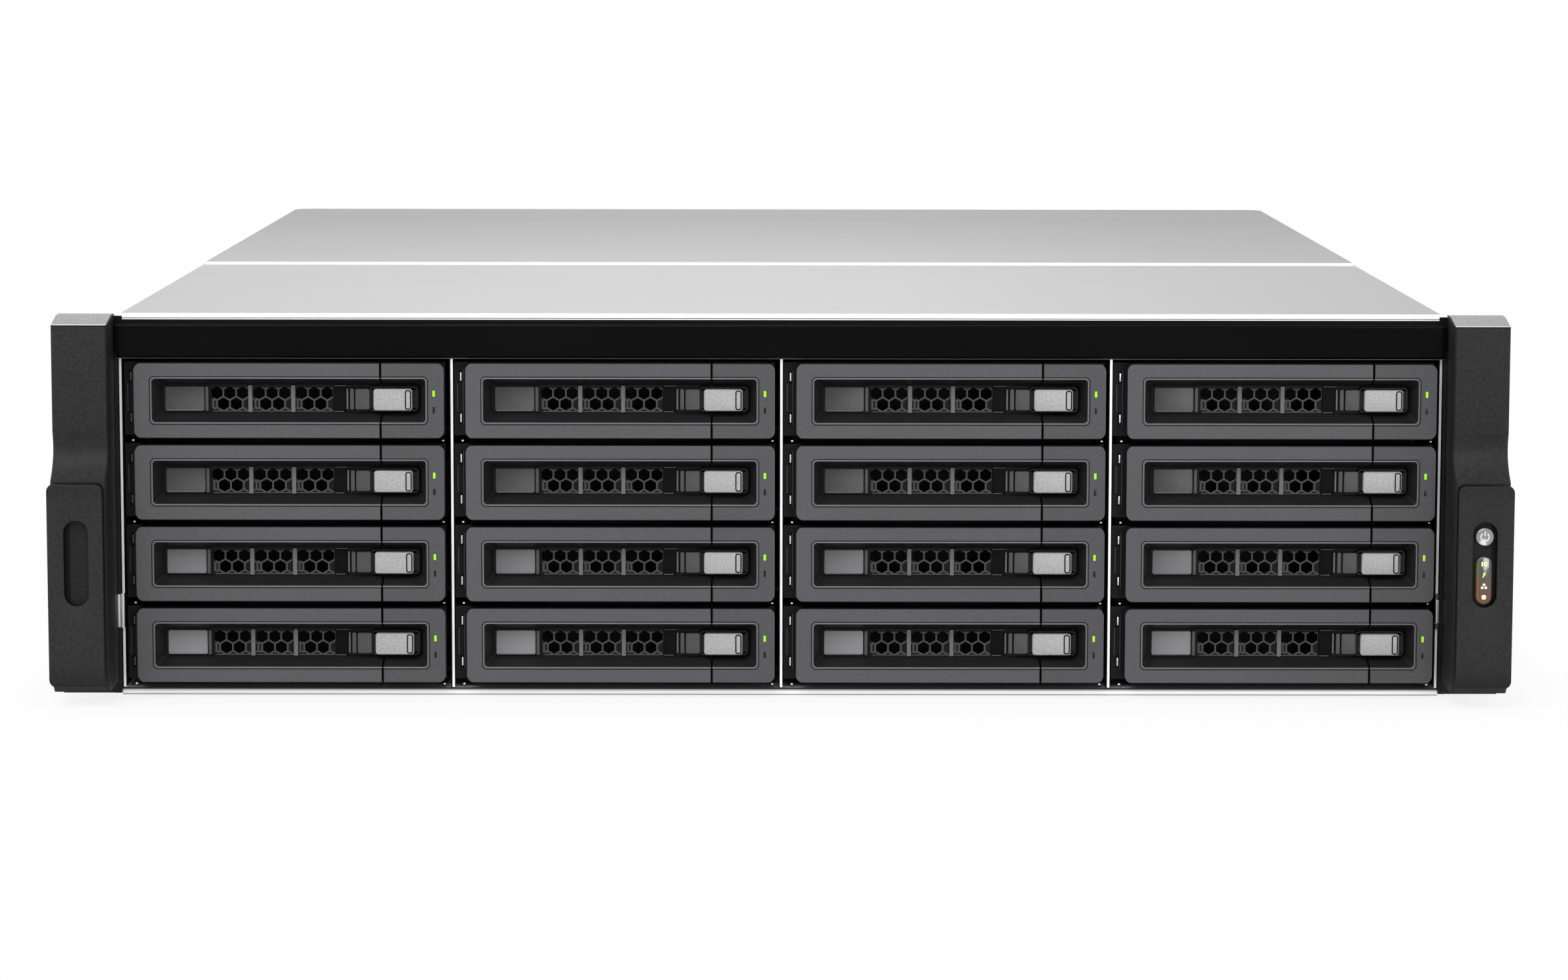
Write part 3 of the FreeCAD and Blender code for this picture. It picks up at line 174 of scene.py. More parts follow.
def turned(profile, centre, axis, steps=28):
    """A turned piece: each (radius, height) of the profile is a circle about the axis at that height."""
    axis = np.asarray(axis, float)
    first = np.cross(axis, (0.3, 0.5, 0.81))
    first /= np.linalg.norm(first)
    second = np.cross(axis, first)
    turn = np.linspace(0, 2 * np.pi, steps, endpoint=False)[None, :, None]
    radius, height = np.asarray(profile, float).T[:, :, None, None]
    return stack(np.asarray(centre, float) + height * axis
                 + radius * (np.cos(turn) * first + np.sin(turn) * second))


print("faces of a bead round an outline:", len(frame_ring(0, 0, 2, 1, 0.2, 0.1, 0)[1]))

# %% [markdown]
# ## From a surface to a piece
# A piece is a mesh that sits at the origin with its place in its points, exactly like a solid node, and it rides on
# one moving body. Faces are smooth where they meet at a shallow angle and sharp elsewhere.

# %% Make a piece
SHARP_ANGLE = math.radians(40)


def piece(name, body, shape, finish):
    """Put a surface, given in millimetres, into a mesh that moves with the body."""
    points, faces = shape
    mesh = bpy.data.meshes.new(name)
    mesh.from_pydata((points * MM).tolist(), [], faces)
    mesh.polygons.foreach_set("use_smooth", np.ones(len(faces), bool))
    mesh.set_sharp_from_angle(angle=SHARP_ANGLE)
    mesh.materials.append(finish)
    thing = bpy.data.objects.new(name, mesh)
    bpy.context.scene.collection.objects.link(thing)
    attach(thing, body)
    return thing


print("edges over", round(math.degrees(SHARP_ANGLE)), "degrees stay sharp")

# %% [markdown]
# ## Shader sums in plain Python
# A finish is a small sum over the surface: a fine noise, a mask for an edge, one colour mixed into another. The class
# below holds one socket. Python's own operators add Math nodes, so that a mask reads like the sentence it stands for.

# %% A socket that can be added up
class Wire:
    """One shader socket; sums, products and comparisons of it are Math nodes."""

    def __init__(self, tree, socket):
        self.tree = tree
        self.socket = socket

    def node(self, kind, settings, sockets, out=0):
        """Add any node: its settings first, then values or wires for its sockets."""
        made = self.tree.nodes.new(kind)
        for key, value in settings.items():
            setattr(made, key, value)
        for key, value in sockets.items():
            if isinstance(value, Wire):
                self.tree.links.new(value.socket, made.inputs[key])
            else:
                made.inputs[key].default_value = value
        return Wire(self.tree, made.outputs[out])

    def math(self, operation, first, second):
        """A Math node of two values or wires."""
        return self.node("ShaderNodeMath", {"operation": operation}, {0: first, 1: second})

    def __add__(self, other):
        return self.math("ADD", self, other)

    def __sub__(self, other):
        return self.math("SUBTRACT", self, other)

    def __rsub__(self, other):
        return self.math("SUBTRACT", other, self)

    def __mul__(self, other):
        return self.math("MULTIPLY", self, other)

    def __mod__(self, other):
        return self.math("FLOORED_MODULO", self, other)

    def __gt__(self, other):
        return self.math("GREATER_THAN", self, other)

    def __lt__(self, other):
        return self.math("LESS_THAN", self, other)

    def __or__(self, other):
        return self.math("MAXIMUM", self, other)

    def __and__(self, other):
        return self.math("MINIMUM", self, other)

    def __abs__(self):
        return self.math("ABSOLUTE", self, 0.0)

    __radd__ = __add__
    __rmul__ = __mul__

    def held(self):
        """The value held between 0 and 1."""
        return (self | 0.0) & 1.0

    def noise(self, scale, detail=2.0, stretch=(1, 1, 1)):
        """A noise between 0 and 1 at so many grains a metre, stretched along the axes."""
        spread = self.node("ShaderNodeMapping", {}, {"Vector": self, "Scale": stretch})
        return self.node("ShaderNodeTexNoise", {}, {"Vector": spread, "Scale": scale, "Detail": detail}, "Fac")

    def paint(self, first, second):
        """The first colour where this mask is 0, the second where it is 1."""
        return self.node("ShaderNodeMix", {"data_type": "RGBA"}, {0: self, 6: first, 7: second}, 2)

    def bump(self, strength, distance):
        """A normal bent by this height."""
        values = {"Strength": strength, "Distance": distance, "Height": self}
        return self.node("ShaderNodeBump", {}, values, "Normal")


def grey(level, tint=(1, 1, 1)):
    """A grey of this level, tinted, as a shader colour."""
    return tuple(level * t for t in tint) + (1.0,)


print("a dark grey:", grey(0.05))

# %% Start a finish
def new_finish(name, **constants):
    """A material with its constant sockets set; gives it back with its shader and the place on the piece."""
    material = bpy.data.materials.new(name)
    material.use_nodes = True
    tree = material.node_tree
    shader = tree.nodes["Principled BSDF"]
    for key, value in constants.items():
        shader.inputs[key.replace("_", " ")].default_value = value
    spot = tree.nodes.new("ShaderNodeTexCoord")
    return material, shader, Wire(tree, spot.outputs["Object"])


def feed(shader, **wires):
    """Lead wires to the shader's sockets; Base_Color stands for Base Color."""
    for key, wire in wires.items():
        wire.tree.links.new(wire.socket, shader.inputs[key.replace("_", " ")])


def axes(place):
    """The three coordinates of the place, in millimetres."""
    split = place.node("ShaderNodeSeparateXYZ", {}, {0: place})
    outputs = split.socket.node.outputs
    return tuple(Wire(place.tree, outputs[k]) * (1 / MM) for k in range(3))


def dress(finish, *names):
    """Give solid nodes this finish in place of the one they came with."""
    for name in names:
        nodes[name].data.materials.clear()
        nodes[name].data.materials.append(finish)


print("finish helpers ready")

# %% [markdown]
# ## Silver sheet
# The case is folded from satin silver sheet. Rolled sheet has faint lines along the roll and slow clouds of tone.
# The cut edges that face the camera are painted near white as a highlight: the walls' front edges, the lip above the
# strip, the rounded hem below the trays and the seam on top. Shadow gaps beside them are painted near black as shade.
# They are found by where they are, because the solid model holds all of them in three nodes.

# %% Measures of the case
def box_mm(name):
    """A solid node's lowest and highest corners, in millimetres."""
    return tuple(np.array(corner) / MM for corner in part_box(name))


low, high = (np.array(corner) / MM for corner in cad_box)
pan_low, pan_high = box_mm("chassis_pan")
lid_low, lid_high = box_mm("rear_lid")
FRONT_PLANE, REAR = pan_low[1], pan_high[1]
WALL_OUT = pan_high[0]
SEAM = lid_low[1]
STRIP_TOP = box_mm("fascia_strip")[1][2]
print("front plane at", round(FRONT_PLANE, 1), "seam at", round(SEAM, 1), "rear panel at", round(REAR, 1), "mm")

# %% Edges of the silver sheet
SKIN = 0.05
HEM_TOP, POST_TOP = 2.6, 113.9
POST_PITCH, POST_ZONE = 110.0, 20.0
INNER_SIDE, OUTER_SIDE = 0.2, 0.4
LIP_STEP = 1.3
LIP_LINE, LIP_LINE_HALF = 1.75, 0.12
LIP_END_HIGH, LIP_END_WIDE = 2.5, 1.8
FLANGE_TOP = high[2] - 1.9
SEAM_HALF, SEAM_LOW = 0.9, 120.0
FOLD_WIDE, FOLD_LOW = 1.2, 127.0

silver, shader, place = new_finish("satin_silver", Specular_IOR_Level=0.05)
x, y, z = axes(place)
in_front = y < FRONT_PLANE + SKIN
lip = in_front * (z > STRIP_TOP + LIP_STEP)
below_lip = in_front * (abs(z - STRIP_TOP) < LIP_STEP)
lip_end = lip * (abs(x) > WALL_OUT - LIP_END_WIDE) * (z < STRIP_TOP + LIP_END_HIGH)
lip_line = lip * (abs(z - (STRIP_TOP + LIP_LINE)) < LIP_LINE_HALF)
cut_edge = in_front * (z < POST_TOP)
post = cut_edge * (z > HEM_TOP)
inner_post = post * (abs(x) < WALL_OUT - POST_ZONE)
outer_post = post * (abs(x) > WALL_OUT - POST_ZONE)
inner_side = inner_post * ((x + POST_PITCH / 2) % POST_PITCH < POST_PITCH / 2 - INNER_SIDE)
outer_side = outer_post * (abs(x) > WALL_OUT - OUTER_SIDE)
hem = in_front * (z < HEM_TOP)
flange_end = in_front * (abs(x) > WALL_OUT + 0.02) * (z < FLANGE_TOP)
seam = (abs(y - SEAM) < SEAM_HALF) * (z > SEAM_LOW)
fold = (abs(x) > WALL_OUT - FOLD_WIDE) * (z > FOLD_LOW)
# Painted highlight: the lip, the posts' front edges, the seam and the top folds are painted near white.
painted_highlight_edges = lip | cut_edge | seam | fold
# Painted shade: the flange ends, the band under the lip, the lip's ends and line, and the posts' sides are near black.
painted_shade_edges = flange_end | below_lip | lip_end | lip_line | inner_side | outer_side
print("bare edges: lip, posts, hem, seam and folds")

# %% Tones of the silver sheet
LID_FIELD, TOP_FACES = lid_high[2] - 1.3, 126.5
SLOTS_LEFT, SLOT_SUNK, SLOT_HALF = 148.0, 1.65, 0.55
BAY_MIDDLE, BAY_HALF, BAY_DEEP, BAY_SIDE = 58.3, 55.6, 200.0, WALL_OUT - 1.15
lines = place.noise(60, 2.0, (0.4, 40, 40))
clouds = place.noise(9, 3.0)
grain = lines * 0.3 + clouds * 0.4 + place.noise(1900, 2.0) * 0.3


def sheet_tone(dark, light):
    """The grain as a tone between two greys, of which the lighter is a little cool."""
    return grain.paint(grey(dark), grey(light, (1, 1, 1.012)))


# Painted shade: the rear lid's top is darker than the front section and darkens further towards the back.
further = ((y - SEAM) * 0.004).held()
lid = (y > SEAM) * (z > LID_FIELD)
tone = lid.paint(sheet_tone(0.44, 0.51), further.paint(sheet_tone(0.39, 0.45), sheet_tone(0.27, 0.32)))
# Painted shade on the top faces: darker towards the right side and a little towards the left.
to_right = ((x - 30) * 0.0069).held()
to_left = ((x + 60) * -0.0087).held()
painted_side_shade = (to_right * 0.3 + to_left * 0.12) * (z > TOP_FACES)
tone = painted_side_shade.paint(tone, grey(0.2))
slot_cover = (abs(y - (REAR - SLOT_SUNK)) < SLOT_HALF) * (x > SLOTS_LEFT)
tone = painted_highlight_edges.paint(slot_cover.paint(tone, grey(0.03)), grey(0.95))
# Painted highlight and shade on the hem: a bright band across its rounding, dark above it and at its foot.
hem_light = ((2.1 - z) * 1.1).held() * ((z * 1.8 + 0.05) & 1.0)
tone = hem.paint(tone, hem_light.paint(grey(0.02), grey(0.85)))
# Painted shade: the cage's walls inside the bays, behind the trays, are painted near black.
in_bay = (y > FRONT_PLANE + SKIN) * (y < FRONT_PLANE + BAY_DEEP)
shaded_bay_wall = in_bay * (abs(x) < BAY_SIDE) * (abs(z - BAY_MIDDLE) < BAY_HALF)
tone = shaded_bay_wall.paint(tone, grey(0.03))
feed(shader, Base_Color=painted_shade_edges.paint(tone, grey(0.006)), Roughness=lines * 0.16 + 0.42,
     Metallic=inner_post * 0.9 + outer_post * 0.5 + hem * 0.8 + 0.1,
     Normal=(lines * 0.6 + clouds * 0.4).bump(0.05, 0.0004))
dress(silver, "chassis_pan", "drive_cage", "rear_lid")
print("silver on three nodes")

# %% [markdown]
# ## Gloss strip
# The strip under the lip is a polished black panel, so it needs almost no pattern: a slow change in its polish is
# what keeps it from looking like paper.

# %% Gloss black finish
gloss, shader, place = new_finish("gloss_black", Specular_IOR_Level=0.05)
polish = place.noise(14, 2.0)
feed(shader, Base_Color=polish.paint(grey(0.001), grey(0.003)), Roughness=polish * 0.08 + 0.07)
dress(gloss, "fascia_strip")
print("strip finished, top at", round(STRIP_TOP, 1), "mm")

# %% [markdown]
# ## Rack ears
# An ear is its side view carried across: the foot, the base, a hollow up to the waist, the upper face and the bevelled
# top. Ahead of the base stands a cap as wide as the ear, with round corners, tight front edges and an oval hollow. The
# cap is one stack of rings: round its outside, over its edge, then inwards to the hollow's rim and down to its floor.
# The ears have a fine spark-eroded grain of about half a millimetre, made with a noise that bends the surface. Their
# hollows, cap sides and inner flanks are darkened with painted shade, and the bevels on top are lightened with painted
# light.

# %% Side view carried across
EAR_IN, EAR_OUT, EAR_ROUND = WALL_OUT + 0.9, high[0] - 0.7, 0.8
EAR_FOOT, EAR_TOP, EAR_BEVEL = 4.7, box_mm("rack_ears")[1][2], 2.4
BASE, WAIST, UPPER, BEVEL_BACK = 24.0, 16.8, 18.0, 6.5
BASE_TOP, WAIST_HEIGHT, UPPER_FOOT = 75.0, 85.0, 91.0


def dipped(start, end, dip):
    """A quadratic curve in ten points, (1-t)^2 a + 2t(1-t) c + t^2 b, that dips back by dip at its middle."""
    t = np.linspace(0, 1, 10)[:, None]
    start, end = np.array(start), np.array(end)
    control = (start + end) / 2 - (2 * dip, 0)
    return (1 - t) ** 2 * start + 2 * t * (1 - t) * control + t ** 2 * end


side_view = np.concatenate([
    [(0, EAR_FOOT), (BASE - 2, EAR_FOOT), (BASE, EAR_FOOT + 2)],
    dipped((BASE, BASE_TOP), (WAIST, WAIST_HEIGHT), 1.7),
    dipped((WAIST, WAIST_HEIGHT), (UPPER, UPPER_FOOT), 0.3)[1:],
    [(UPPER, EAR_TOP - EAR_BEVEL), (BEVEL_BACK, EAR_TOP), (0, EAR_TOP)],
])


def ear_block(sign):
    """The side view at a row of places across; its front is set back by a quarter round at both ends."""
    inset, back = EAR_ROUND * (1 - np.cos(EDGE_TURN)), EAR_ROUND * (1 - np.sin(EDGE_TURN))
    across = np.concatenate([EAR_IN + inset, EAR_OUT - inset[::-1]])
    set_back = np.concatenate([back, back[::-1]])[:, None]
    ahead = side_view[:, 0] - set_back * (side_view[:, 0] > 1)
    grid = np.broadcast_arrays(sign * across[:, None], FRONT_PLANE - ahead, side_view[:, 1])
    return stack(np.stack(grid, axis=-1))


print("side view:", len(side_view), "points")

# %% Caps with an oval hollow
CAP_FRONT = low[1]
CAP_WIDE, CAP_LOW, CAP_HIGH = 18.4, 7.1, 74.6
CAP_MIDDLE = (CAP_LOW + CAP_HIGH) / 2
CAP_CORNER, CAP_EDGE = 2.4, 0.6
HOLLOW_X, HOLLOW_Z, HOLLOW_DEEP = (WALL_OUT + 1 + high[0]) / 2, 48.4, 3.0
HOLLOW_WIDE, HOLLOW_TALL = 8.0, 28.3
HOLLOW_RIM = ((0.8, 0), (0.24, 0.12), (0, 0.4), (0, HOLLOW_DEEP))
BORE_Z, BORE_WIDE, BORE_DEEP = 57.6, 6.3, 8.5
NEARLY_ROUND = 0.02


def ear_cap(sign, bored):
    """Rings round the cap, over its front edge, into the hollow and, where it is bored, down the button's bore."""
    u, tall = sign * (high[0] - CAP_WIDE / 2), CAP_HIGH - CAP_LOW
    rings = [upright(u, CAP_MIDDLE, CAP_WIDE, tall, CAP_CORNER, FRONT_PLANE - BASE + 0.5)]
    for turn in EDGE_TURN:
        i, w = CAP_EDGE * (1 - np.cos(turn)), CAP_FRONT + CAP_EDGE * (1 - np.sin(turn))
        rings.append(upright(u, CAP_MIDDLE, CAP_WIDE - 2 * i, tall - 2 * i, CAP_CORNER - i, w))
    for out, deep in HOLLOW_RIM:
        wide, long = HOLLOW_WIDE + out, HOLLOW_TALL + out
        rings.append(upright(sign * HOLLOW_X, HOLLOW_Z, wide, long, wide / 2 - NEARLY_ROUND, CAP_FRONT + deep))
    if bored:
        for deep in (HOLLOW_DEEP, BORE_DEEP):
            rings.append(upright(sign * HOLLOW_X, BORE_Z, BORE_WIDE, BORE_WIDE, BORE_WIDE / 2 - NEARLY_ROUND,
                                 CAP_FRONT + deep))
    return stack(rings)


print("cap", CAP_WIDE, "x", round(CAP_HIGH - CAP_LOW, 1), "mm")

# %% Textured black finish
CROWN_FOOT, GROOVE_X = 126.05, 233.9
CAP_SIDE, CAP_SIDE_HALF, CAP_PLAIN_HALF = 2.2, 1.75, 26.5
ear_black, shader, place = new_finish("textured_black", Specular_IOR_Level=0.14)
x, y, z = axes(place)
grain = place.noise(1000, 3.0)
mottle = grain * 0.75 + place.noise(420, 2.0) * 0.25
hollow_floor = abs(y - (CAP_FRONT + HOLLOW_DEEP)) < 0.03
cap_side = (abs(y - (CAP_FRONT + CAP_SIDE)) < CAP_SIDE_HALF) * (1 - hollow_floor)
floor_shadow_band = hollow_floor * (abs(x) > GROOVE_X)
flank = abs(x) < WALL_OUT + 1.5
cap_end = ((abs(z - CAP_MIDDLE) - CAP_PLAIN_HALF) * 0.11 | 0.0) * (y < CAP_FRONT + 0.7)
crown = (z > CROWN_FOOT) * (abs(x) > WALL_OUT + 1.2)
crown_line = abs(z - (CROWN_FOOT - 0.2)) < 0.2
# The mix starts below 0, so that the darkest grains are black.
skin = mottle.paint(grey(-0.010), grey(0.040, (1, 1, 1.05)))
# Painted shade: the inner flank and the cap's upper and lower ends take a darker skin.
shade_skin = grain.paint(grey(0.001), grey(0.020))
# Painted shade: the hollow's floor is darker than the face.
floor_shade_skin = grain.paint(grey(0.0), grey(0.026))
# Painted light: the upward bevels and the top, above the crown's foot, are pale grey on the black ear.
painted_top_light = (z > CROWN_FOOT + 0.25).paint(grey(0.62), grain.paint(grey(0.16), grey(0.48)))
shaded = hollow_floor.paint((flank | cap_end).paint(skin, shade_skin), floor_shade_skin)
# Painted shade: the sides of the cap and of the hollow, the outer band of the hollow's floor and a line under the top
# bevel are near black.
shaded = (cap_side | floor_shadow_band | crown_line).paint(shaded, grey(0.002))
feed(shader, Base_Color=crown.paint(shaded, painted_top_light), Roughness=grain * 0.25 + 0.42,
     Normal=mottle.bump(0.45, 0.00025))
print("ear finish ready")

# %% Two ears with their brackets and heels
BRACKET_THICK, BRACKET_Z, BRACKET_TALL, BRACKET_BACK = 1.0, 60, 100, FRONT_PLANE + 42
HEEL_WIDE, HEEL_FOOT, HEEL_TOP, HEEL_FRONT = 2.2, 0.7, lid_low[2] - 0.3, FRONT_PLANE - 1.2
ear_parts = []
for sign in (-1, 1):
    bracket = slab(sign * (WALL_OUT + BRACKET_THICK / 2), BRACKET_Z, BRACKET_THICK, BRACKET_TALL, corner=0.1,
                   back=BRACKET_BACK, front=FRONT_PLANE, edge=0.05)
    heel = slab(sign * (WALL_OUT + HEEL_WIDE / 2), (HEEL_TOP + HEEL_FOOT) / 2, HEEL_WIDE, HEEL_TOP - HEEL_FOOT,
                corner=0.1, back=FRONT_PLANE, front=HEEL_FRONT, edge=0.05)
    ear_parts += [ear_block(sign), ear_cap(sign, bored=sign > 0), bracket, heel]
ears = piece("ears_moulded", "chassis", join(ear_parts), ear_black)
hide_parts("rack_ears")
print("ears:", len(ears.data.polygons), "faces")

# %% [markdown]
# ## Tray plastic
# Tray fronts and levers are one dark grey plastic with a faint sparkle. The four leaning sides of the window are
# polished and painted nearly black, partly their own colour and partly painted shade, and so is everything behind the
# bezel. All sixteen bays share one finish: the remainder of the place after the bay's pitch says where in its own bay a
# point lies.

# %% Where a point lies in its bay
BAYS = [(row, column) for row in range(1, 5) for column in range(1, 5)]
COLUMN_PITCH = (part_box("lever_r4c2")[0][0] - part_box("lever_r4c1")[0][0]) / MM
ROW_PITCH = (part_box("lever_r3c1")[0][2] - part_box("lever_r4c1")[0][2]) / MM
BAY_CORNER = box_mm("lever_r4c1")[0]
BAY_MARGIN = 5


def in_own_bay(place):
    """Right, back and up from the lower left front corner of the bezel that the point belongs to."""
    x, y, z = axes(place)
    across = (x - (BAY_CORNER[0] - BAY_MARGIN)) % COLUMN_PITCH - BAY_MARGIN
    return across, y - BAY_CORNER[1], (z - BAY_CORNER[2]) % ROW_PITCH


print("bay pitch", round(COLUMN_PITCH, 2), "x", round(ROW_PITCH, 2), "mm")

# %% The grille's bars and the window's rim
HEX_PITCH, HEX_BAR = 4.27, 0.55
RIM_LEFT, RIM_RIGHT, RIM_LOW, RIM_HIGH = 5.6, 97.0, 5.1, 20.1
RIM_CORNER = 1.2


def comb_edges(across, up):
    """1 on the bars of two staggered rows of six-sided holes.

    The distance of a point (a, b) from a hole's middle, measured to its sides, is max(|a|, |a| / 2 + sqrt(3)/2 |b|).
    """
    row = HEX_PITCH * math.sqrt(3) / 4
    upper = abs(across % HEX_PITCH - HEX_PITCH / 2)
    lower = abs((across + HEX_PITCH / 2) % HEX_PITCH - HEX_PITCH / 2)
    to_upper = upper | (upper * 0.5 + abs(up - row) * (math.sqrt(3) / 2))
    to_lower = lower | (lower * 0.5 + abs(up + row) * (math.sqrt(3) / 2))
    side = to_upper & to_lower
    return (side > (HEX_PITCH - HEX_BAR) / 2 - 0.05) * (side < (HEX_PITCH + HEX_BAR) / 2)


def past_rim(u, v):
    """Distance outside the rim: to the nearest side, or at a corner to the line across it."""
    beside = abs(u - (RIM_LEFT + RIM_RIGHT) / 2) - (RIM_RIGHT - RIM_LEFT) / 2
    above = abs(v - (RIM_LOW + RIM_HIGH) / 2) - (RIM_HIGH - RIM_LOW) / 2
    return beside | above | ((beside + above) * math.sqrt(0.5) + (math.sqrt(2) - 1) * RIM_CORNER)


print("hexagons", HEX_PITCH, "mm apart, rim", round(RIM_RIGHT - RIM_LEFT, 1), "mm long")

# %% Tray finish
MIDDLE, PANEL = 12.6, 7.3
BEZEL_FACE, BEZEL_HALF = 0.4, 12.38
SPLIT, SPLIT_HALF = 81.8, 0.42
RIM_FOOT, RIM_EDGE = 0.32, 0.62
GRILLE_MIDDLE, GRILLE_PITCH = 33.05, 14.1
COMB_U, COMB_V, COMB_HALF_U, COMB_HALF_V = 45.2, 12.2, 20.2, 4.0
RIB_LEFT, RIB_RIGHT, RIB_HALF = 37.9, 52.2, 0.7
RIB_FRONT, RIB_BACK, RIB_HALF_V = 5.9, 7.2, 4.5
TRAY_MIDDLE, SLED_FRONT, SLED_HALF = 49.8, 9.4, 50.9
DRIVE_FRONT, DRIVE_HALF = 31.5, 50.85
VIOLET = (1, 0.985, 1.10)

tray_grey, shader, place = new_finish("tray_grey", Specular_IOR_Level=0.14)
u, depth, v = in_own_bay(place)
sparkle = place.noise(2600, 2.0)
drift = place.noise(25, 2.0)
in_field = (u - GRILLE_MIDDLE + GRILLE_PITCH / 2) % GRILLE_PITCH - GRILLE_PITCH / 2
on_comb = (abs(depth - PANEL) < 0.1) * (abs(u - COMB_U) < COMB_HALF_U) * (abs(v - COMB_V) < COMB_HALF_V)
bars = comb_edges(in_field, v - MIDDLE) * on_comb
on_rib = (abs(u - RIB_LEFT) < RIB_HALF) | (abs(u - RIB_RIGHT) < RIB_HALF)
ribs = on_rib * (depth > RIB_FRONT) * (depth < RIB_BACK) * (abs(v - MIDDLE) < RIB_HALF_V)
sled = (depth > SLED_FRONT) * (abs(u - TRAY_MIDDLE) > SLED_HALF)
drive = (depth > DRIVE_FRONT) * (abs(u - TRAY_MIDDLE) < DRIVE_HALF)
metal = sled | drive
mottle = sparkle * 0.8 + drift * 0.2
lever_plastic = mottle.paint(grey(0.054), grey(0.117, VIOLET))
end_plastic = mottle.paint(grey(0.047), grey(0.104, VIOLET))
plastic = (u > SPLIT).paint(lever_plastic, end_plastic)
# Behind the bezel's face: partly the panel's own black, partly painted shade in the window.
behind = (depth > 7.0).paint(grey(0.012), grey(0.004))
outside = past_rim(u, v)
rim_groove = (outside > RIM_FOOT) * (outside < RIM_EDGE)
# Dark lines: the groove round the rim and the joint line are real; the bezel's top and bottom edges are painted near
# black as shade on their rounding.
joints_and_edge_shade = rim_groove | (abs(u - SPLIT) < SPLIT_HALF) | (abs(v - MIDDLE) > BEZEL_HALF)
shaded = joints_and_edge_shade.paint((depth > BEZEL_FACE).paint(plastic, behind), grey(0.004))
shaded = ribs.paint(bars.paint(shaded, grey(0.075)), grey(0.15))
feed(shader, Base_Color=metal.paint(shaded, drift.paint(grey(0.30), grey(0.38))), Metallic=metal * 0.7,
     Roughness=sparkle * 0.2 + 0.38, Normal=sparkle.bump(0.12, 0.0001))
dress(tray_grey, *(f"{kind}_r{row}c{column}" for row, column in BAYS for kind in ("tray", "lever")))
print("one finish for", 2 * len(BAYS), "trays and levers")

# %% [markdown]
# ## Small finishes
# The trim has its own plastics: pads with a painted reflection that is paler in the lower rows, rim beads painted light
# as a highlight, a speckled silver latch, lamp lenses. Each gets a fine noise in tone and roughness, because even a
# plain moulding is never one flat colour.

# %% A plain moulding with a fine grain
def moulded(name, dark, light, rough, grains=1800, tint=(1, 1, 1), lift=0.1, **constants):
    """A plastic or paint whose tone wanders between two greys with a fine grain."""
    material, shader, place = new_finish(name, **constants)
    fine = place.noise(grains, 2.0)
    feed(shader, Base_Color=fine.paint(grey(dark, tint), grey(light, tint)), Roughness=fine * 0.15 + rough,
         Normal=fine.bump(lift, 0.0001))
    return material


def lamp(name, colour, strength):
    """A lit lens: a coloured moulding with a glow of the same colour."""
    return moulded(name, 0.6, 0.9, 0.25, tint=colour, Emission_Color=(*colour, 1.0), Emission_Strength=strength)


rest_grey = moulded("rest_grey", 0.034, 0.052, 0.38)
# Painted highlight: the rim beads, the pad's lower bead and the strip's lower line are lighter than the plastic around
# them.
rim_highlight_grey = moulded("rim_highlight_grey", 0.105, 0.135, 0.3)
recess_black = moulded("recess_black", 0.003, 0.006, 0.4, Specular_IOR_Level=0.05)
latch_silver = moulded("latch_silver", 0.20, 0.50, 0.36, 1500, lift=0.25, Metallic=0.2)
bare_steel = moulded("bare_steel", 0.62, 0.72, 0.25, 900, Metallic=0.9)
drive_steel = moulded("drive_steel", 0.40, 0.50, 0.3, 400, Metallic=0.7)
knob_dark = moulded("knob_dark", 0.05, 0.09, 0.2, Metallic=0.6)
lens_dark = moulded("lens_dark", 0.004, 0.010, 0.2, Specular_IOR_Level=0.2)
lamp_green = lamp("lamp_green", (0.30, 0.66, 0.0), 0.62)
print("small finishes:", len(bpy.data.materials))

# %% Pads, with a painted reflection that is paler to the lower right and in the lower rows
LOWER_ROWS, THIRD_ROW = 57, 43
pad_grey, shader, place = new_finish("pad_grey", Specular_IOR_Level=0.3)
u, _, v = in_own_bay(place)
z = axes(place)[2]
# Painted reflection: the pads get paler towards their lower right and in the lower rows, as the pale floor would show
# in them.
lower_row_reflection = (z < LOWER_ROWS) * ((THIRD_ROW - z) * 0.0104 + 0.52)
painted_reflection = place.noise(1800, 2.0) * 0.16 + (MIDDLE - v) * 0.015 + (u - 16.0) * 0.012 + lower_row_reflection
feed(shader, Base_Color=painted_reflection.paint(grey(0.046), grey(0.260, (1, 1, 1.05))),
     Roughness=place.noise(300) * 0.15 + 0.25)
print("pad finish ready")

# %% [markdown]
# ## What stands on each tray
# Left to right behind the window: a pad with a lower edge bead painted light as a highlight, the grille with its ribs,
# a dark block and a thumb rest. To the right sits the frame that the latch slides in. Each is a slab in the bay's own
# millimetres, right, back and up from the bezel's lower corner, made once and moved to all bays by their pitch.

# %% Into all the bays
def to_bay(shape, row, column):
    """A shape in a bay's own millimetres, moved to that bay."""
    points, faces = shape
    shift = BAY_CORNER + np.array([(column - 1) * COLUMN_PITCH, 0, (4 - row) * ROW_PITCH])
    return points + shift, faces


def in_bays(name, kind, shape, finish):
    """The same piece in every bay, riding on that bay's tray, lever or latch."""
    made = {}
    for row, column in BAYS:
        bay = f"r{row}c{column}"
        made[row, column] = piece(f"{name}_{bay}", f"{kind}_{bay}", to_bay(shape, row, column), finish)
    return made


def on_panel(left, width, height, rise, corner=0.4, edge=0.2):
    """A slab that stands on the tray panel at the middle of the window."""
    return slab(left + width / 2, MIDDLE, width, height, corner, PANEL, PANEL - rise, edge)


def level(left, right, height, w, radius):
    """A straight bead from left to right."""
    return bead([[u, w, height] for u in (left, (left + right) / 2, right)], radius, False, (0, 0, 1))


print("bays:", len(BAYS))

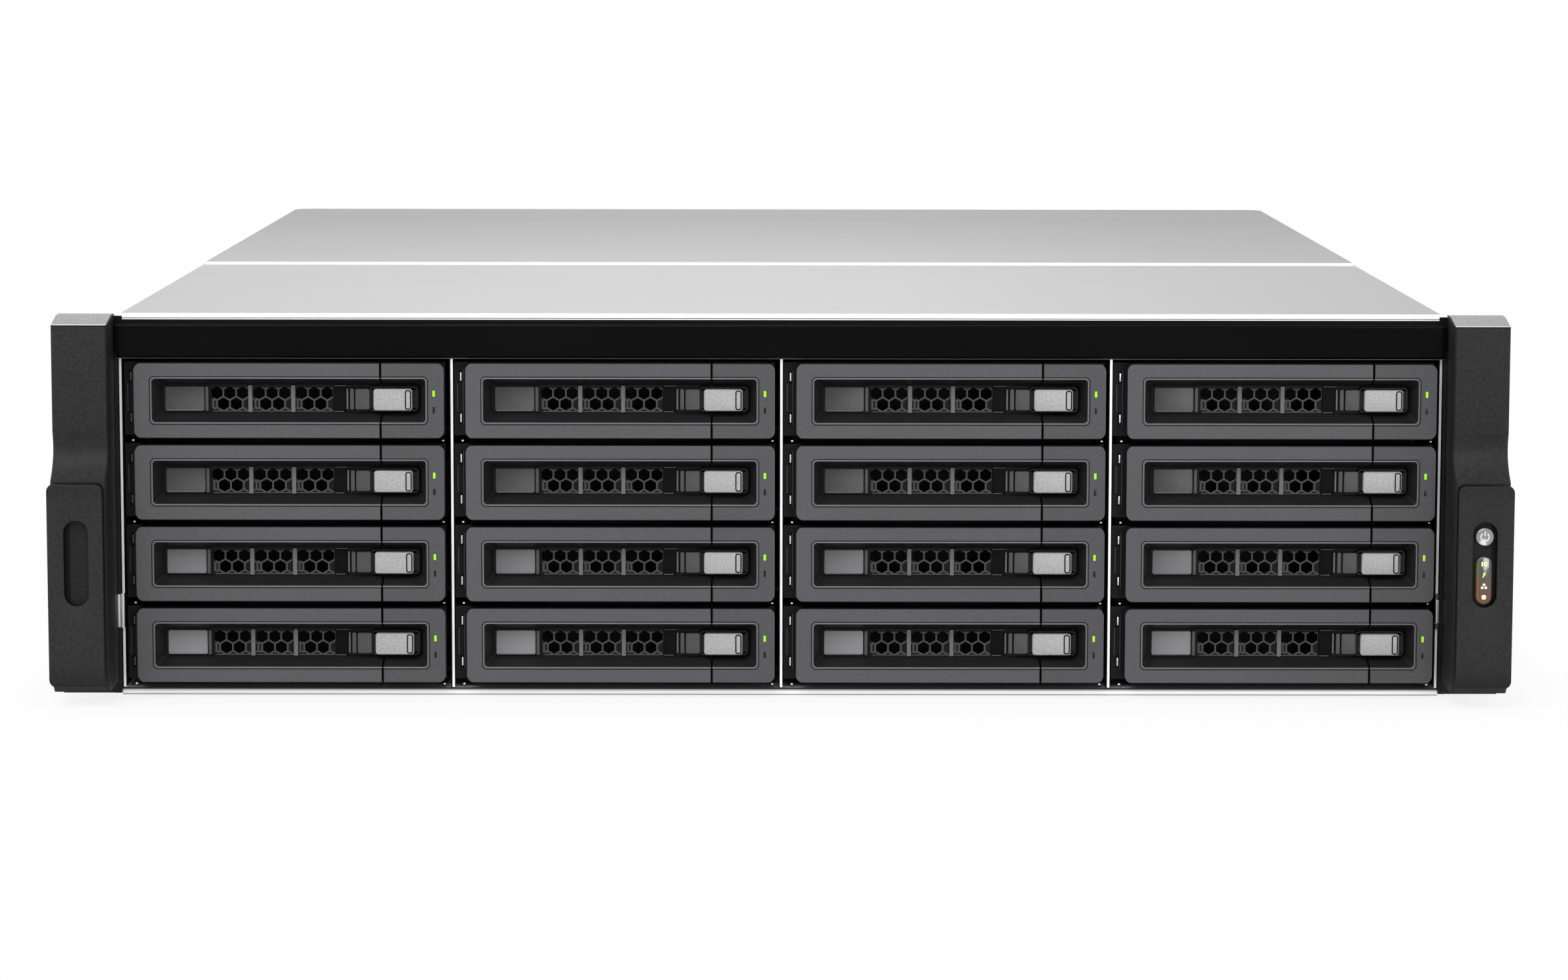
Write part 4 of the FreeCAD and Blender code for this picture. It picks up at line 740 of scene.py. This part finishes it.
# %% Pads, thumb rests and latch frames
pad_shape = on_panel(left=9.4, width=13.2, height=8.2, rise=0.9, corner=0.6)
# Beads painted light as highlights: the pad's lower edge, a ridge beside the dark block and the block's upper and lower
# edges.
edge_shape = join([
    level(10.0, 22.0, 8.7, 6.3, 0.2),
    on_panel(left=70.0, width=0.6, height=7.0, rise=1.6, corner=0.2),
    level(65.8, 69.0, 8.3, 6.5, 0.12),
    level(65.8, 70.0, 17.0, 6.5, 0.12),
])
rest_shape = join([
    on_panel(left=22.9, width=1.1, height=8.4, rise=1.6, corner=0.3),
    on_panel(left=71.2, width=1.4, height=7.1, rise=2.2),
    on_panel(left=73.0, width=4.8, height=7.0, rise=2.6, corner=0.6),
    level(25.4, 65.0, 8.3, 7.2, 0.22),
])
dark_shape = on_panel(left=65.5, width=4.4, height=8.9, rise=0.7)
latch_frame = frame_ring(85.8, MIDDLE, width=15.9, height=7.9, corner=1.2, radius=0.55, w=6.0)
in_bays("pad", "tray", pad_shape, pad_grey)
in_bays("painted_highlight_edges", "tray", edge_shape, rim_highlight_grey)
in_bays("thumb_rest", "tray", rest_shape, rest_grey)
in_bays("dark_block", "tray", dark_shape, recess_black)
in_bays("latch_frame", "tray", latch_frame, lens_dark)
print("trim on", len(BAYS), "trays")

# %% Covers of the drives
DRIVE_MIDDLE, DRIVE_TOP = np.array([TRAY_MIDDLE, 104.8]), 25.65
PLATE_WIDE, PLATE_LONG, PLATE_CORNER, PLATE_THICK = 96.0, 141.0, 5.0, 0.3
PLATE_TOP = DRIVE_TOP + PLATE_THICK
HEAD_U, HEAD_V, HUB_BACK = 43, 62, 25
HEAD = [(2.2, 0), (2.1, 0.18), (1.2, 0.2), (0.9, 0.06), (0.1, 0.05)]
HUB = [(14, 0), (14, 0.12), (13, 0.2), (0.1, 0.2)]


def laid(shape):
    """The same surface turned a quarter about X, so that what faced the front faces up."""
    points, faces = shape
    return points[:, [0, 2, 1]] * np.array([1, 1, -1]), faces


plate = laid(slab(*DRIVE_MIDDLE, PLATE_WIDE, PLATE_LONG, PLATE_CORNER, -DRIVE_TOP, -PLATE_TOP, 0.15))
heads = [turned(HEAD, (*(DRIVE_MIDDLE + (HEAD_U * i, HEAD_V * j)), PLATE_TOP), (0, 0, 1), 16)
         for i in (-1, 1) for j in (-1, 0, 1)]
hub = turned(HUB, (*(DRIVE_MIDDLE + (0, HUB_BACK)), PLATE_TOP), (0, 0, 1))
in_bays("drive_cover", "tray", join([plate, hub] + heads), drive_steel)
print("drive covers:", len(BAYS))

# %% [markdown]
# ## Rim bead and lamps
# A thin raised bead runs round the window, and the joint line cuts it in two: a long hook on the lever and a short one
# on the fixed end. At the far right are two lamps, the upper one lit.

# %% Beads on lever and fixed end, lamps
RIM_WIRE, RIM_DEPTH, JOINT_HALF = 0.24, 0.05, 0.25
LAMP_U = 99.5


def hook(end_u, split_u):
    """A bead path from the joint line along the top, round two corners and back along the bottom."""
    sign = 1 if end_u > split_u else -1
    turn = np.linspace(np.pi / 2, -np.pi / 2, 13)
    half = (RIM_HIGH - RIM_LOW) / 2 - RIM_CORNER
    across = end_u - sign * RIM_CORNER + sign * RIM_CORNER * np.cos(turn)
    up = MIDDLE + np.where(turn > 0, half, np.where(turn < 0, -half, 0)) + RIM_CORNER * np.sin(turn)
    across = np.concatenate([[split_u], across, [split_u]])
    up = np.concatenate([[RIM_HIGH], up, [RIM_LOW]])
    return np.column_stack([across, np.full(len(across), RIM_DEPTH), up])


lever_rim = bead(hook(RIM_LEFT, SPLIT - JOINT_HALF), RIM_WIRE, False)
end_rim = bead(hook(RIM_RIGHT, SPLIT + JOINT_HALF), RIM_WIRE, False)
# The rim beads are painted light as a highlight.
in_bays("lever_rim", "lever", lever_rim, rim_highlight_grey)
in_bays("end_rim", "tray", end_rim, rim_highlight_grey)
lit_shape = slab(LAMP_U, 15.0, 0.8, 2.0, corner=0.2, back=0.2, front=-0.08, edge=0.06)
unlit_shape = slab(LAMP_U, 9.5, 0.8, 2.1, corner=0.2, back=0.2, front=-0.05, edge=0.05)
in_bays("lamp_lit", "tray", lit_shape, lamp_green)
in_bays("lamp_unlit", "tray", unlit_shape, lens_dark)
print("rims and lamps in", len(BAYS), "bays")

# %% [markdown]
# ## Latches
# The latch is a small silver slider with soft corners, a stem that runs back through the tray panel, and a long mark
# pressed into its right end. It stands for the plain block of the solid model.

# %% Silver latches
HEAD_BACK = 5.2
head = slab(85.65, MIDDLE, 12.9, 7.3, corner=0.9, back=HEAD_BACK, front=3.0, edge=0.35)
stem = slab(85.5, MIDDLE, 3.0, 2.6, corner=0.2, back=9.3, front=HEAD_BACK, edge=0.05)
mark = frame_ring(90.7, MIDDLE, width=1.7, height=6.2, corner=0.6, radius=0.2, w=2.98)
latches = in_bays("latch_slider", "latch", join([head, stem]), latch_silver)
for (row, column), thing in latches.items():
    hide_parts(f"latch_r{row}c{column}")
in_bays("latch_mark", "latch", mark, recess_black)
print("latches:", len(latches))

# %% [markdown]
# ## Contact fingers and post clips
# Beside each bezel the tray carries two spring fingers of bright steel; in the first column they are painted dark as
# shade. On the left post a doubled clip laps over the ear's heel; on the right one a thin clip sits between two dark
# knobs.

# %% Fingers, their pits and rails, and cage tabs
FINGER, FINGER_HEIGHTS = -1.95, (6.1, 20.0)
RAIL_FRONT = PANEL - 0.5
finger_shape = join([slab(FINGER, v, 0.6, 2.8, 0.15, PANEL, RAIL_FRONT, 0.1) for v in FINGER_HEIGHTS])
pit_shape = join([slab(FINGER, v, 1.3, 4.2, 0.2, PANEL, PANEL - 0.15, 0.05) for v in FINGER_HEIGHTS])
rail_shape = join([slab(FINGER - 1.1, MIDDLE + 0.4, 0.35, 9.2, 0.1, PANEL, RAIL_FRONT, 0.1),
                   slab(FINGER + 0.8, MIDDLE + 0.4, 0.3, 18.6, 0.1, PANEL, RAIL_FRONT, 0.1)])
fingers = in_bays("contact_fingers", "tray", finger_shape, bare_steel)
in_bays("finger_pits", "tray", pit_shape, recess_black)
in_bays("finger_rails", "tray", rail_shape, rest_grey)
# Painted shade: the fingers of the first column take the dark knob finish.
for row in range(1, 5):
    fingers[row, 1].data.materials[0] = knob_dark
tab_pair = join([slab(u, -1.45, 0.8, 0.55, 0.2, 7.6, 6.4, 0.1) for u in (-1.4, 102.0)])
tabs = [to_bay(tab_pair, row, column) for row, column in BAYS]
piece("cage_tabs", "chassis", join(tabs), bare_steel)
print("fingers and tabs in", len(tabs), "bays")

# %% Post clips, ear plates and the strip's lower line
POST = WALL_OUT - 0.6
CLIP_MIDDLE, CLIP_FRONT = 28.6, FRONT_PLANE - 2.0
KNOB = [(0.95, 0), (0.95, 0.5), (0.75, 0.9), (0.2, 1.1)]
EAR_WIDE = high[0] - WALL_OUT
plates = [slab(-POST - 1.3, CLIP_MIDDLE, 1.2, 11.2, 0.3, HEEL_FRONT, CLIP_FRONT, 0.2),
          slab(-POST, CLIP_MIDDLE, 1.3, 11.8, 0.3, FRONT_PLANE, CLIP_FRONT + 0.3, 0.2)]
piece("post_clip_left", "chassis", join(plates), bare_steel)
clip = slab(POST, CLIP_MIDDLE, 1.2, 8.0, 0.3, FRONT_PLANE, FRONT_PLANE - 0.8, 0.2)
piece("post_clip_right", "chassis", clip, bare_steel)
knobs = [turned(KNOB, (POST, FRONT_PLANE, CLIP_MIDDLE + up), (0, -1, 0)) for up in (-5.1, 5.1)]
piece("post_knobs_right", "chassis", join(knobs), knob_dark)
for side, sign in (("left", -1), ("right", 1)):
    foot = slab(sign * (WALL_OUT + EAR_WIDE / 2), 2.7, EAR_WIDE - 0.4, 4.0, corner=0.4, back=FRONT_PLANE,
                front=FRONT_PLANE - 1.1, edge=0.2)
    # Beside the foot, a small black slab closes the gap under the cover's flange, so that the gap shows as shade.
    gap_shade_slab = slab(sign * (WALL_OUT + 0.6), lid_low[2] - 0.15, 1.2, 0.8, corner=0.1, back=FRONT_PLANE + 2.0,
                front=FRONT_PLANE - 0.05, edge=0.02)
    piece(f"ear_plate_{side}", "chassis", join([foot, gap_shade_slab]), ear_black)
# A thin line painted light as a highlight along the strip's lower edge.
line = slab(0, 113.85, 441.6, 0.3, corner=0.1, back=FRONT_PLANE - 0.2, front=FRONT_PLANE - 3.2, edge=0.1)
piece("strip_line", "chassis", line, rim_highlight_grey)
print("clips, ear plates and the strip's lower line")

# %% [markdown]
# ## Power button and indicator lens
# In the right ear's oval hollow sits a clear button with a power sign, an open ring with an upright bar, and below it a
# clear lens with four lit marks. The button is a turned piece that replaces the plain rod, with a dished top.

# %% Clear button with its sign
SIGN_ROUND, SIGN_WIRE, SIGN_STEPS = 1.35, 0.2, 28
button_low, button_high = box_mm("power_button")
BUTTON_X, BUTTON_Z = ((button_low + button_high) / 2)[[0, 2]]
BUTTON_FRONT = button_low[1]
button_long = button_high[1] - BUTTON_FRONT
clear_grey = moulded("clear_button", 0.16, 0.26, 0.12, 500, Coat_Weight=1.0, Coat_Roughness=0.05)
sign_white = lamp("sign_white", (0.8, 0.82, 0.85), 0.25)

profile = [(2.9, -button_long), (3.0, -0.6), (2.9, -0.2), (2.6, 0), (2.2, -0.05), (1.0, -0.25), (0.1, -0.3)]
button_shape = turned(profile, (BUTTON_X, BUTTON_FRONT, BUTTON_Z), (0, -1, 0), 40)
button = piece("button_clear", "power_button", button_shape, clear_grey)
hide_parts("power_button")
gap = np.linspace(math.radians(125), math.radians(415), SIGN_STEPS)
ring = np.column_stack([BUTTON_X + SIGN_ROUND * np.cos(gap), np.full(SIGN_STEPS, BUTTON_FRONT + 0.15),
                        BUTTON_Z + SIGN_ROUND * np.sin(gap)])
bar = [[BUTTON_X, BUTTON_FRONT + 0.12, BUTTON_Z + up] for up in (0.3, 1.0, 1.9)]
power_sign = join([bead(path, SIGN_WIRE, False) for path in (ring, bar)])
piece("button_sign", "power_button", power_sign, sign_white)
print("button front at", round(BUTTON_FRONT, 2), "mm")

# %% Indicator lens
LENS_Z, LENS_THICK = 43.1, 1.8
LENS_FRONT = CAP_FRONT + HOLLOW_DEEP - LENS_THICK
lens_smoke, shader, place = new_finish("lens_smoke", Coat_Weight=0.8, Emission_Strength=0.35)
x, _, z = axes(place)
rim = (BUTTON_X - x) * 0.6 - 0.9
upper = (z - LENS_Z) * 0.125 + 0.5
glow = upper.paint((0.20, 0.05, 0.006, 1), (0.09, 0.11, 0.006, 1))
smoke = upper.paint((0.060, 0.026, 0.014, 1), (0.022, 0.027, 0.024, 1))
tinted = rim.paint(smoke, glow)
feed(shader, Base_Color=tinted, Emission_Color=tinted, Roughness=place.noise(700) * 0.1 + 0.1)
lens = slab(BUTTON_X, LENS_Z, 5.3, 16.1, 2.6, LENS_FRONT + LENS_THICK, LENS_FRONT - 0.05, 0.5)
piece("indicator_cover", "chassis", lens, lens_smoke)
print("lens front at", round(LENS_FRONT, 2), "mm")

# %% Lit marks on the lens
MARK_FRONT, MARK_WIRE = LENS_FRONT - 0.15, 0.17
SPEED_Z, ACTIVITY_Z, DISK_Z = 48.6, 45.0, 37.6
mark_yellow = lamp("mark_yellow", (0.80, 0.95, 0.25), 1.0)
mark_orange = lamp("mark_orange", (1.0, 0.70, 0.40), 1.1)


def tile(across, height, width, tall, corner):
    """A flat lit mark on the lens, across from its middle line."""
    return slab(BUTTON_X + across, height, width, tall, corner, LENS_FRONT + 0.1, MARK_FRONT, 0.06)


bolt = np.array([[0.45, 0.8], [-0.05, 0.65], [-0.15, -0.1], [-0.45, -0.8]])
bolt_path = np.column_stack([BUTTON_X + bolt[:, 0], np.full(len(bolt), LENS_FRONT), ACTIVITY_Z + bolt[:, 1]])
speed = [tile(-0.75, SPEED_Z, 0.4, 1.5, 0.1),
         frame_ring(BUTTON_X + 0.35, SPEED_Z, 0.85, 1.2, 0.4, MARK_WIRE, LENS_FRONT)]
activity = [bead(bolt_path, MARK_WIRE, False), tile(0.05, ACTIVITY_Z + 0.1, 0.8, 0.3, 0.1)]
network = [tile(across, height, 0.8, 0.75, 0.2) for across, height in ((0, 41.75), (-0.6, 40.75), (0.6, 40.75))]
disk = [frame_ring(BUTTON_X, DISK_Z, 1.1, 1.2, 0.35, MARK_WIRE, LENS_FRONT), tile(0, DISK_Z, 0.6, 0.7, 0.2)]
piece("indicator_marks_yellow", "chassis", join(speed + activity), mark_yellow)
piece("indicator_marks_orange", "chassis", join(network + disk), mark_orange)
print("lens marks: 2 yellow, 2 orange")

# %% [markdown]
# ## The back
# Behind are two fans under wire guards, two power supplies with black handles, and the connectors. A wire guard is a
# few rings and two crossing wires of the same gauge. Screws are turned heads with a dished drive.

# %% Fans, guards and screws
SCREW = [(2.9, 0), (2.9, 0.7), (2.5, 1.3), (1.6, 1.6), (0.9, 1.6), (0.8, 0.9), (0.1, 0.9)]
GUARD_WIRE, GUARD_RINGS, GUARD_REACH = 0.7, (11, 19, 27, 35, 41), 50
FAN_SCREW = 35.7
fan_plastic = moulded("fan_plastic", 0.008, 0.016, 0.45)
dress(fan_plastic, "fan_frames", "fan_rotor_left", "fan_rotor_right")
turn = np.linspace(0, 2 * np.pi, 64, endpoint=False)
round_path = np.column_stack([np.cos(turn), np.zeros(len(turn)), np.sin(turn)])
reach = np.linspace(-GUARD_REACH, GUARD_REACH, 9)[:, None]
for side in ("left", "right"):
    fan_x, _, fan_z = sum(box_mm(f"fan_rotor_{side}")) / 2
    wires = [bead(np.array([fan_x, REAR + 1.6, fan_z]) + r * round_path, GUARD_WIRE, True) for r in GUARD_RINGS]
    for angle in np.radians([45, 135]):
        along = np.array([math.cos(angle), 0, math.sin(angle)])
        wires.append(bead(np.array([fan_x, REAR + 0.7, fan_z]) + reach * along, GUARD_WIRE, False))
    piece(f"fan_guard_{side}", "chassis", join(wires), bare_steel)
    heads = [turned(SCREW, (fan_x + FAN_SCREW * i, REAR, fan_z + FAN_SCREW * j), (0, 1, 0))
             for i in (-1, 1) for j in (-1, 1)]
    piece(f"fan_screws_{side}", "chassis", join(heads), bare_steel)
print("two guards, eight screws")

# %% Supplies and boards
SUPPLIES = ("supply_lower", "supply_upper")
SOLDER_MASK = (0.5, 2.2, 1.2)
HANDLE_FOOT, FACE_OUT, INLET_DEEP = REAR + 2.05, REAR + 1.95, REAR - 16.5
PORT_DEEP, BOARD_TOP = REAR - 22, 9.6
supply_plated, shader, place = new_finish("supply_plated")
y = axes(place)[1]
streaks = place.noise(50, 2.0, (30, 1, 30))
handle = y > HANDLE_FOOT
inside = (y > INLET_DEEP) * (y < FACE_OUT)
plating = streaks.paint(grey(0.45), grey(0.56))
feed(shader, Base_Color=handle.paint(inside.paint(plating, grey(0.02)), grey(0.012)),
     Metallic=0.8 - (handle | inside) * 0.8, Roughness=streaks * 0.2 + 0.28)
dress(supply_plated, *SUPPLIES)

board_finish, shader, place = new_finish("boards_and_ports")
_, y, z = axes(place)
weave = place.noise(300, 2.0)
port = (y > PORT_DEEP) * (z > BOARD_TOP)
mouth = port * (y < REAR - 0.1)
mask = weave.paint(grey(0.02, SOLDER_MASK), grey(0.03, SOLDER_MASK))
feed(shader, Base_Color=port.paint(mask, mouth.paint(grey(0.5), grey(0.015))), Metallic=port - mouth,
     Roughness=weave * 0.2 + 0.3)
dress(board_finish, "circuit_boards")
print("supplies and boards finished")

# %% Cover screws, card slots and inlet pins
SLOT_MIDDLES = 157.495 + 20.32 * np.arange(3)
SLOT_LOW, SLOT_HIGH = 38.0, pan_high[2] - 13.4
SCREWS_ALONG, SCREW_Z, SLOT_SCREW_Z = (-220, -90, 0, 120, 240), 121, 119.5
INLET_RIGHT, INLET_UP, PIN_PLACES = 21.7, 18.9, ((-7, -2), (7, -2), (0, 2))


def facing_back(shape):
    """The same surface seen in a mirror at y = 0, with its faces turned to stay outward."""
    points, faces = shape
    return points * np.array([1, -1, 1]), [face[::-1] for face in faces]


cover_screws = [turned(SCREW, (side * (WALL_OUT + 1.0), along, SCREW_Z), (side, 0, 0))
                for side in (-1, 1) for along in SCREWS_ALONG]
piece("cover_screws", "chassis", join(cover_screws), bare_steel)
covers = [slab(middle, (SLOT_LOW + SLOT_HIGH) / 2, 12.2, SLOT_HIGH - SLOT_LOW - 0.8, corner=0.8, back=1.3 - REAR,
               front=0.5 - REAR, edge=0.3) for middle in SLOT_MIDDLES]
piece("slot_plates", "chassis", facing_back(join(covers)), drive_steel)
for name in SUPPLIES:
    corner = box_mm(name)[0]
    inlet_x, inlet_z = corner[0] + INLET_RIGHT, corner[2] + INLET_UP
    pins = [slab(inlet_x + across, inlet_z + up, 2.0, 4.0, corner=0.3, back=15.2 - REAR, front=3.0 - REAR, edge=0.4)
            for across, up in PIN_PLACES]
    piece(f"inlet_pins_{name}", name, facing_back(join(pins)), bare_steel)
slot_screws = [turned(SCREW, (middle, REAR, SLOT_SCREW_Z), (0, 1, 0)) for middle in SLOT_MIDDLES]
piece("slot_screws", "chassis", join(slot_screws), bare_steel)
print(len(cover_screws), "cover screws,", len(covers), "card slots")

# %% [markdown]
# ## Floor, light and camera
# The server is photographed on white: a pale floor that still takes a soft shadow, and a white surround that metal and
# gloss can mirror. One large soft lamp stands above the front and two weaker ones at the sides. A small one ahead
# lifts the front, and another washes the back.

# %% White surround
scene = bpy.context.scene
scene.view_settings.view_transform = "Standard"
world = bpy.data.worlds.new("white_surround")
scene.world = world
world.use_nodes = True
tree = world.node_tree
light_path = tree.nodes.new("ShaderNodeLightPath")
seen, glossy, through = (Wire(tree, light_path.outputs[f"Is {kind} Ray"])
                         for kind in ("Camera", "Glossy", "Transmission"))
shown = seen | glossy | through
tree.links.new((shown * 0.6 + 0.4).socket, tree.nodes["Background"].inputs["Strength"])
tree.nodes["Background"].inputs["Color"].default_value = (1, 1, 1, 1)
print("white surround")

# %% Pale floor
FLOOR_HALF = 6.0
SHADOW_X, SHADOW_Y = 240, 290
across = np.linspace(-FLOOR_HALF, FLOOR_HALF, 3)
floor_u, floor_v = np.meshgrid(across, across)
floor_points = np.stack([floor_u, floor_v, np.zeros_like(floor_u)], axis=-1).reshape(-1, 3)
first_corner = np.array([0, 1, 3, 4])
floor_faces = (first_corner[:, None] + np.array([0, 1, 4, 3])).tolist()
floor_mesh = bpy.data.meshes.new("floor")
floor_mesh.from_pydata(floor_points.tolist(), [], floor_faces)
floor = bpy.data.objects.new("floor", floor_mesh)
scene.collection.objects.link(floor)

paper, shader, place = new_finish("white_paper", Base_Color=grey(0.85), Roughness=0.9)
tree = paper.node_tree
light_path = tree.nodes.new("ShaderNodeLightPath")
white = tree.nodes.new("ShaderNodeEmission")
blend = tree.nodes.new("ShaderNodeMixShader")
x, y, _ = axes(place)
away = ((abs(x) - SHADOW_X) | (abs(y) - SHADOW_Y)) * 0.003 + 0.88
seen = Wire(tree, light_path.outputs["Is Camera Ray"]) | Wire(tree, light_path.outputs["Is Glossy Ray"])
tree.links.new((seen * away).socket, blend.inputs[0])
tree.links.new(shader.outputs[0], blend.inputs[1])
tree.links.new(white.outputs[0], blend.inputs[2])
tree.links.new(blend.outputs[0], tree.nodes["Material Output"].inputs["Surface"])
floor_mesh.materials.append(paper)
print("floor", 2 * FLOOR_HALF, "m wide")

# %% Lamps
def soft_lamp(name, spot, aim, size, watts):
    """A square area lamp at the spot, turned to the aim."""
    data = bpy.data.lights.new(name, "AREA")
    data.size = size
    data.energy = watts
    thing = bpy.data.objects.new(name, data)
    scene.collection.objects.link(thing)
    thing.location = spot
    line = np.array(aim, float) - np.array(spot, float)
    flat = math.hypot(line[0], line[1])
    thing.rotation_euler = (math.atan2(flat, -line[2]), 0, math.atan2(line[1], line[0]) - math.pi / 2)


soft_lamp("key_above_front", (-0.6, -1.75, 1.7), (0, -0.1, 0.1), size=1.6, watts=36)
soft_lamp("fill_left", (-1.9, -1.0, 0.9), (0, -0.2, 0.06), size=1.2, watts=10)
soft_lamp("fill_right", (1.9, -1.0, 0.9), (0, -0.2, 0.06), size=1.2, watts=10)
soft_lamp("front_fill", (0.7, -2.2, 0.35), (0, -0.3, 0.06), size=0.5, watts=6)
soft_lamp("back_wash", (0, 1.8, 1.0), (0, 0.26, 0.06), size=1.2, watts=8)
print("lamps:", len(bpy.data.lights))

# %% Camera
PITCH_DOWN = math.radians(6.353)
YAW_RIGHT = math.radians(0.181)
ROLL_LEFT = math.radians(0.092)
camera_data = bpy.data.cameras.new("camera")
camera_data.sensor_width = 36
camera_data.lens = 98.62
camera_data.shift_y = -0.05
camera_data.clip_end = 50
camera = bpy.data.objects.new("camera", camera_data)
scene.collection.objects.link(camera)
camera.location = (-0.0037, -1.6901, 0.2545)
camera.rotation_euler = (math.pi / 2 - PITCH_DOWN, -ROLL_LEFT, -YAW_RIGHT)
scene.camera = camera
print("camera", tuple(round(c, 3) for c in camera.location), "lens", round(camera_data.lens, 2), "mm")
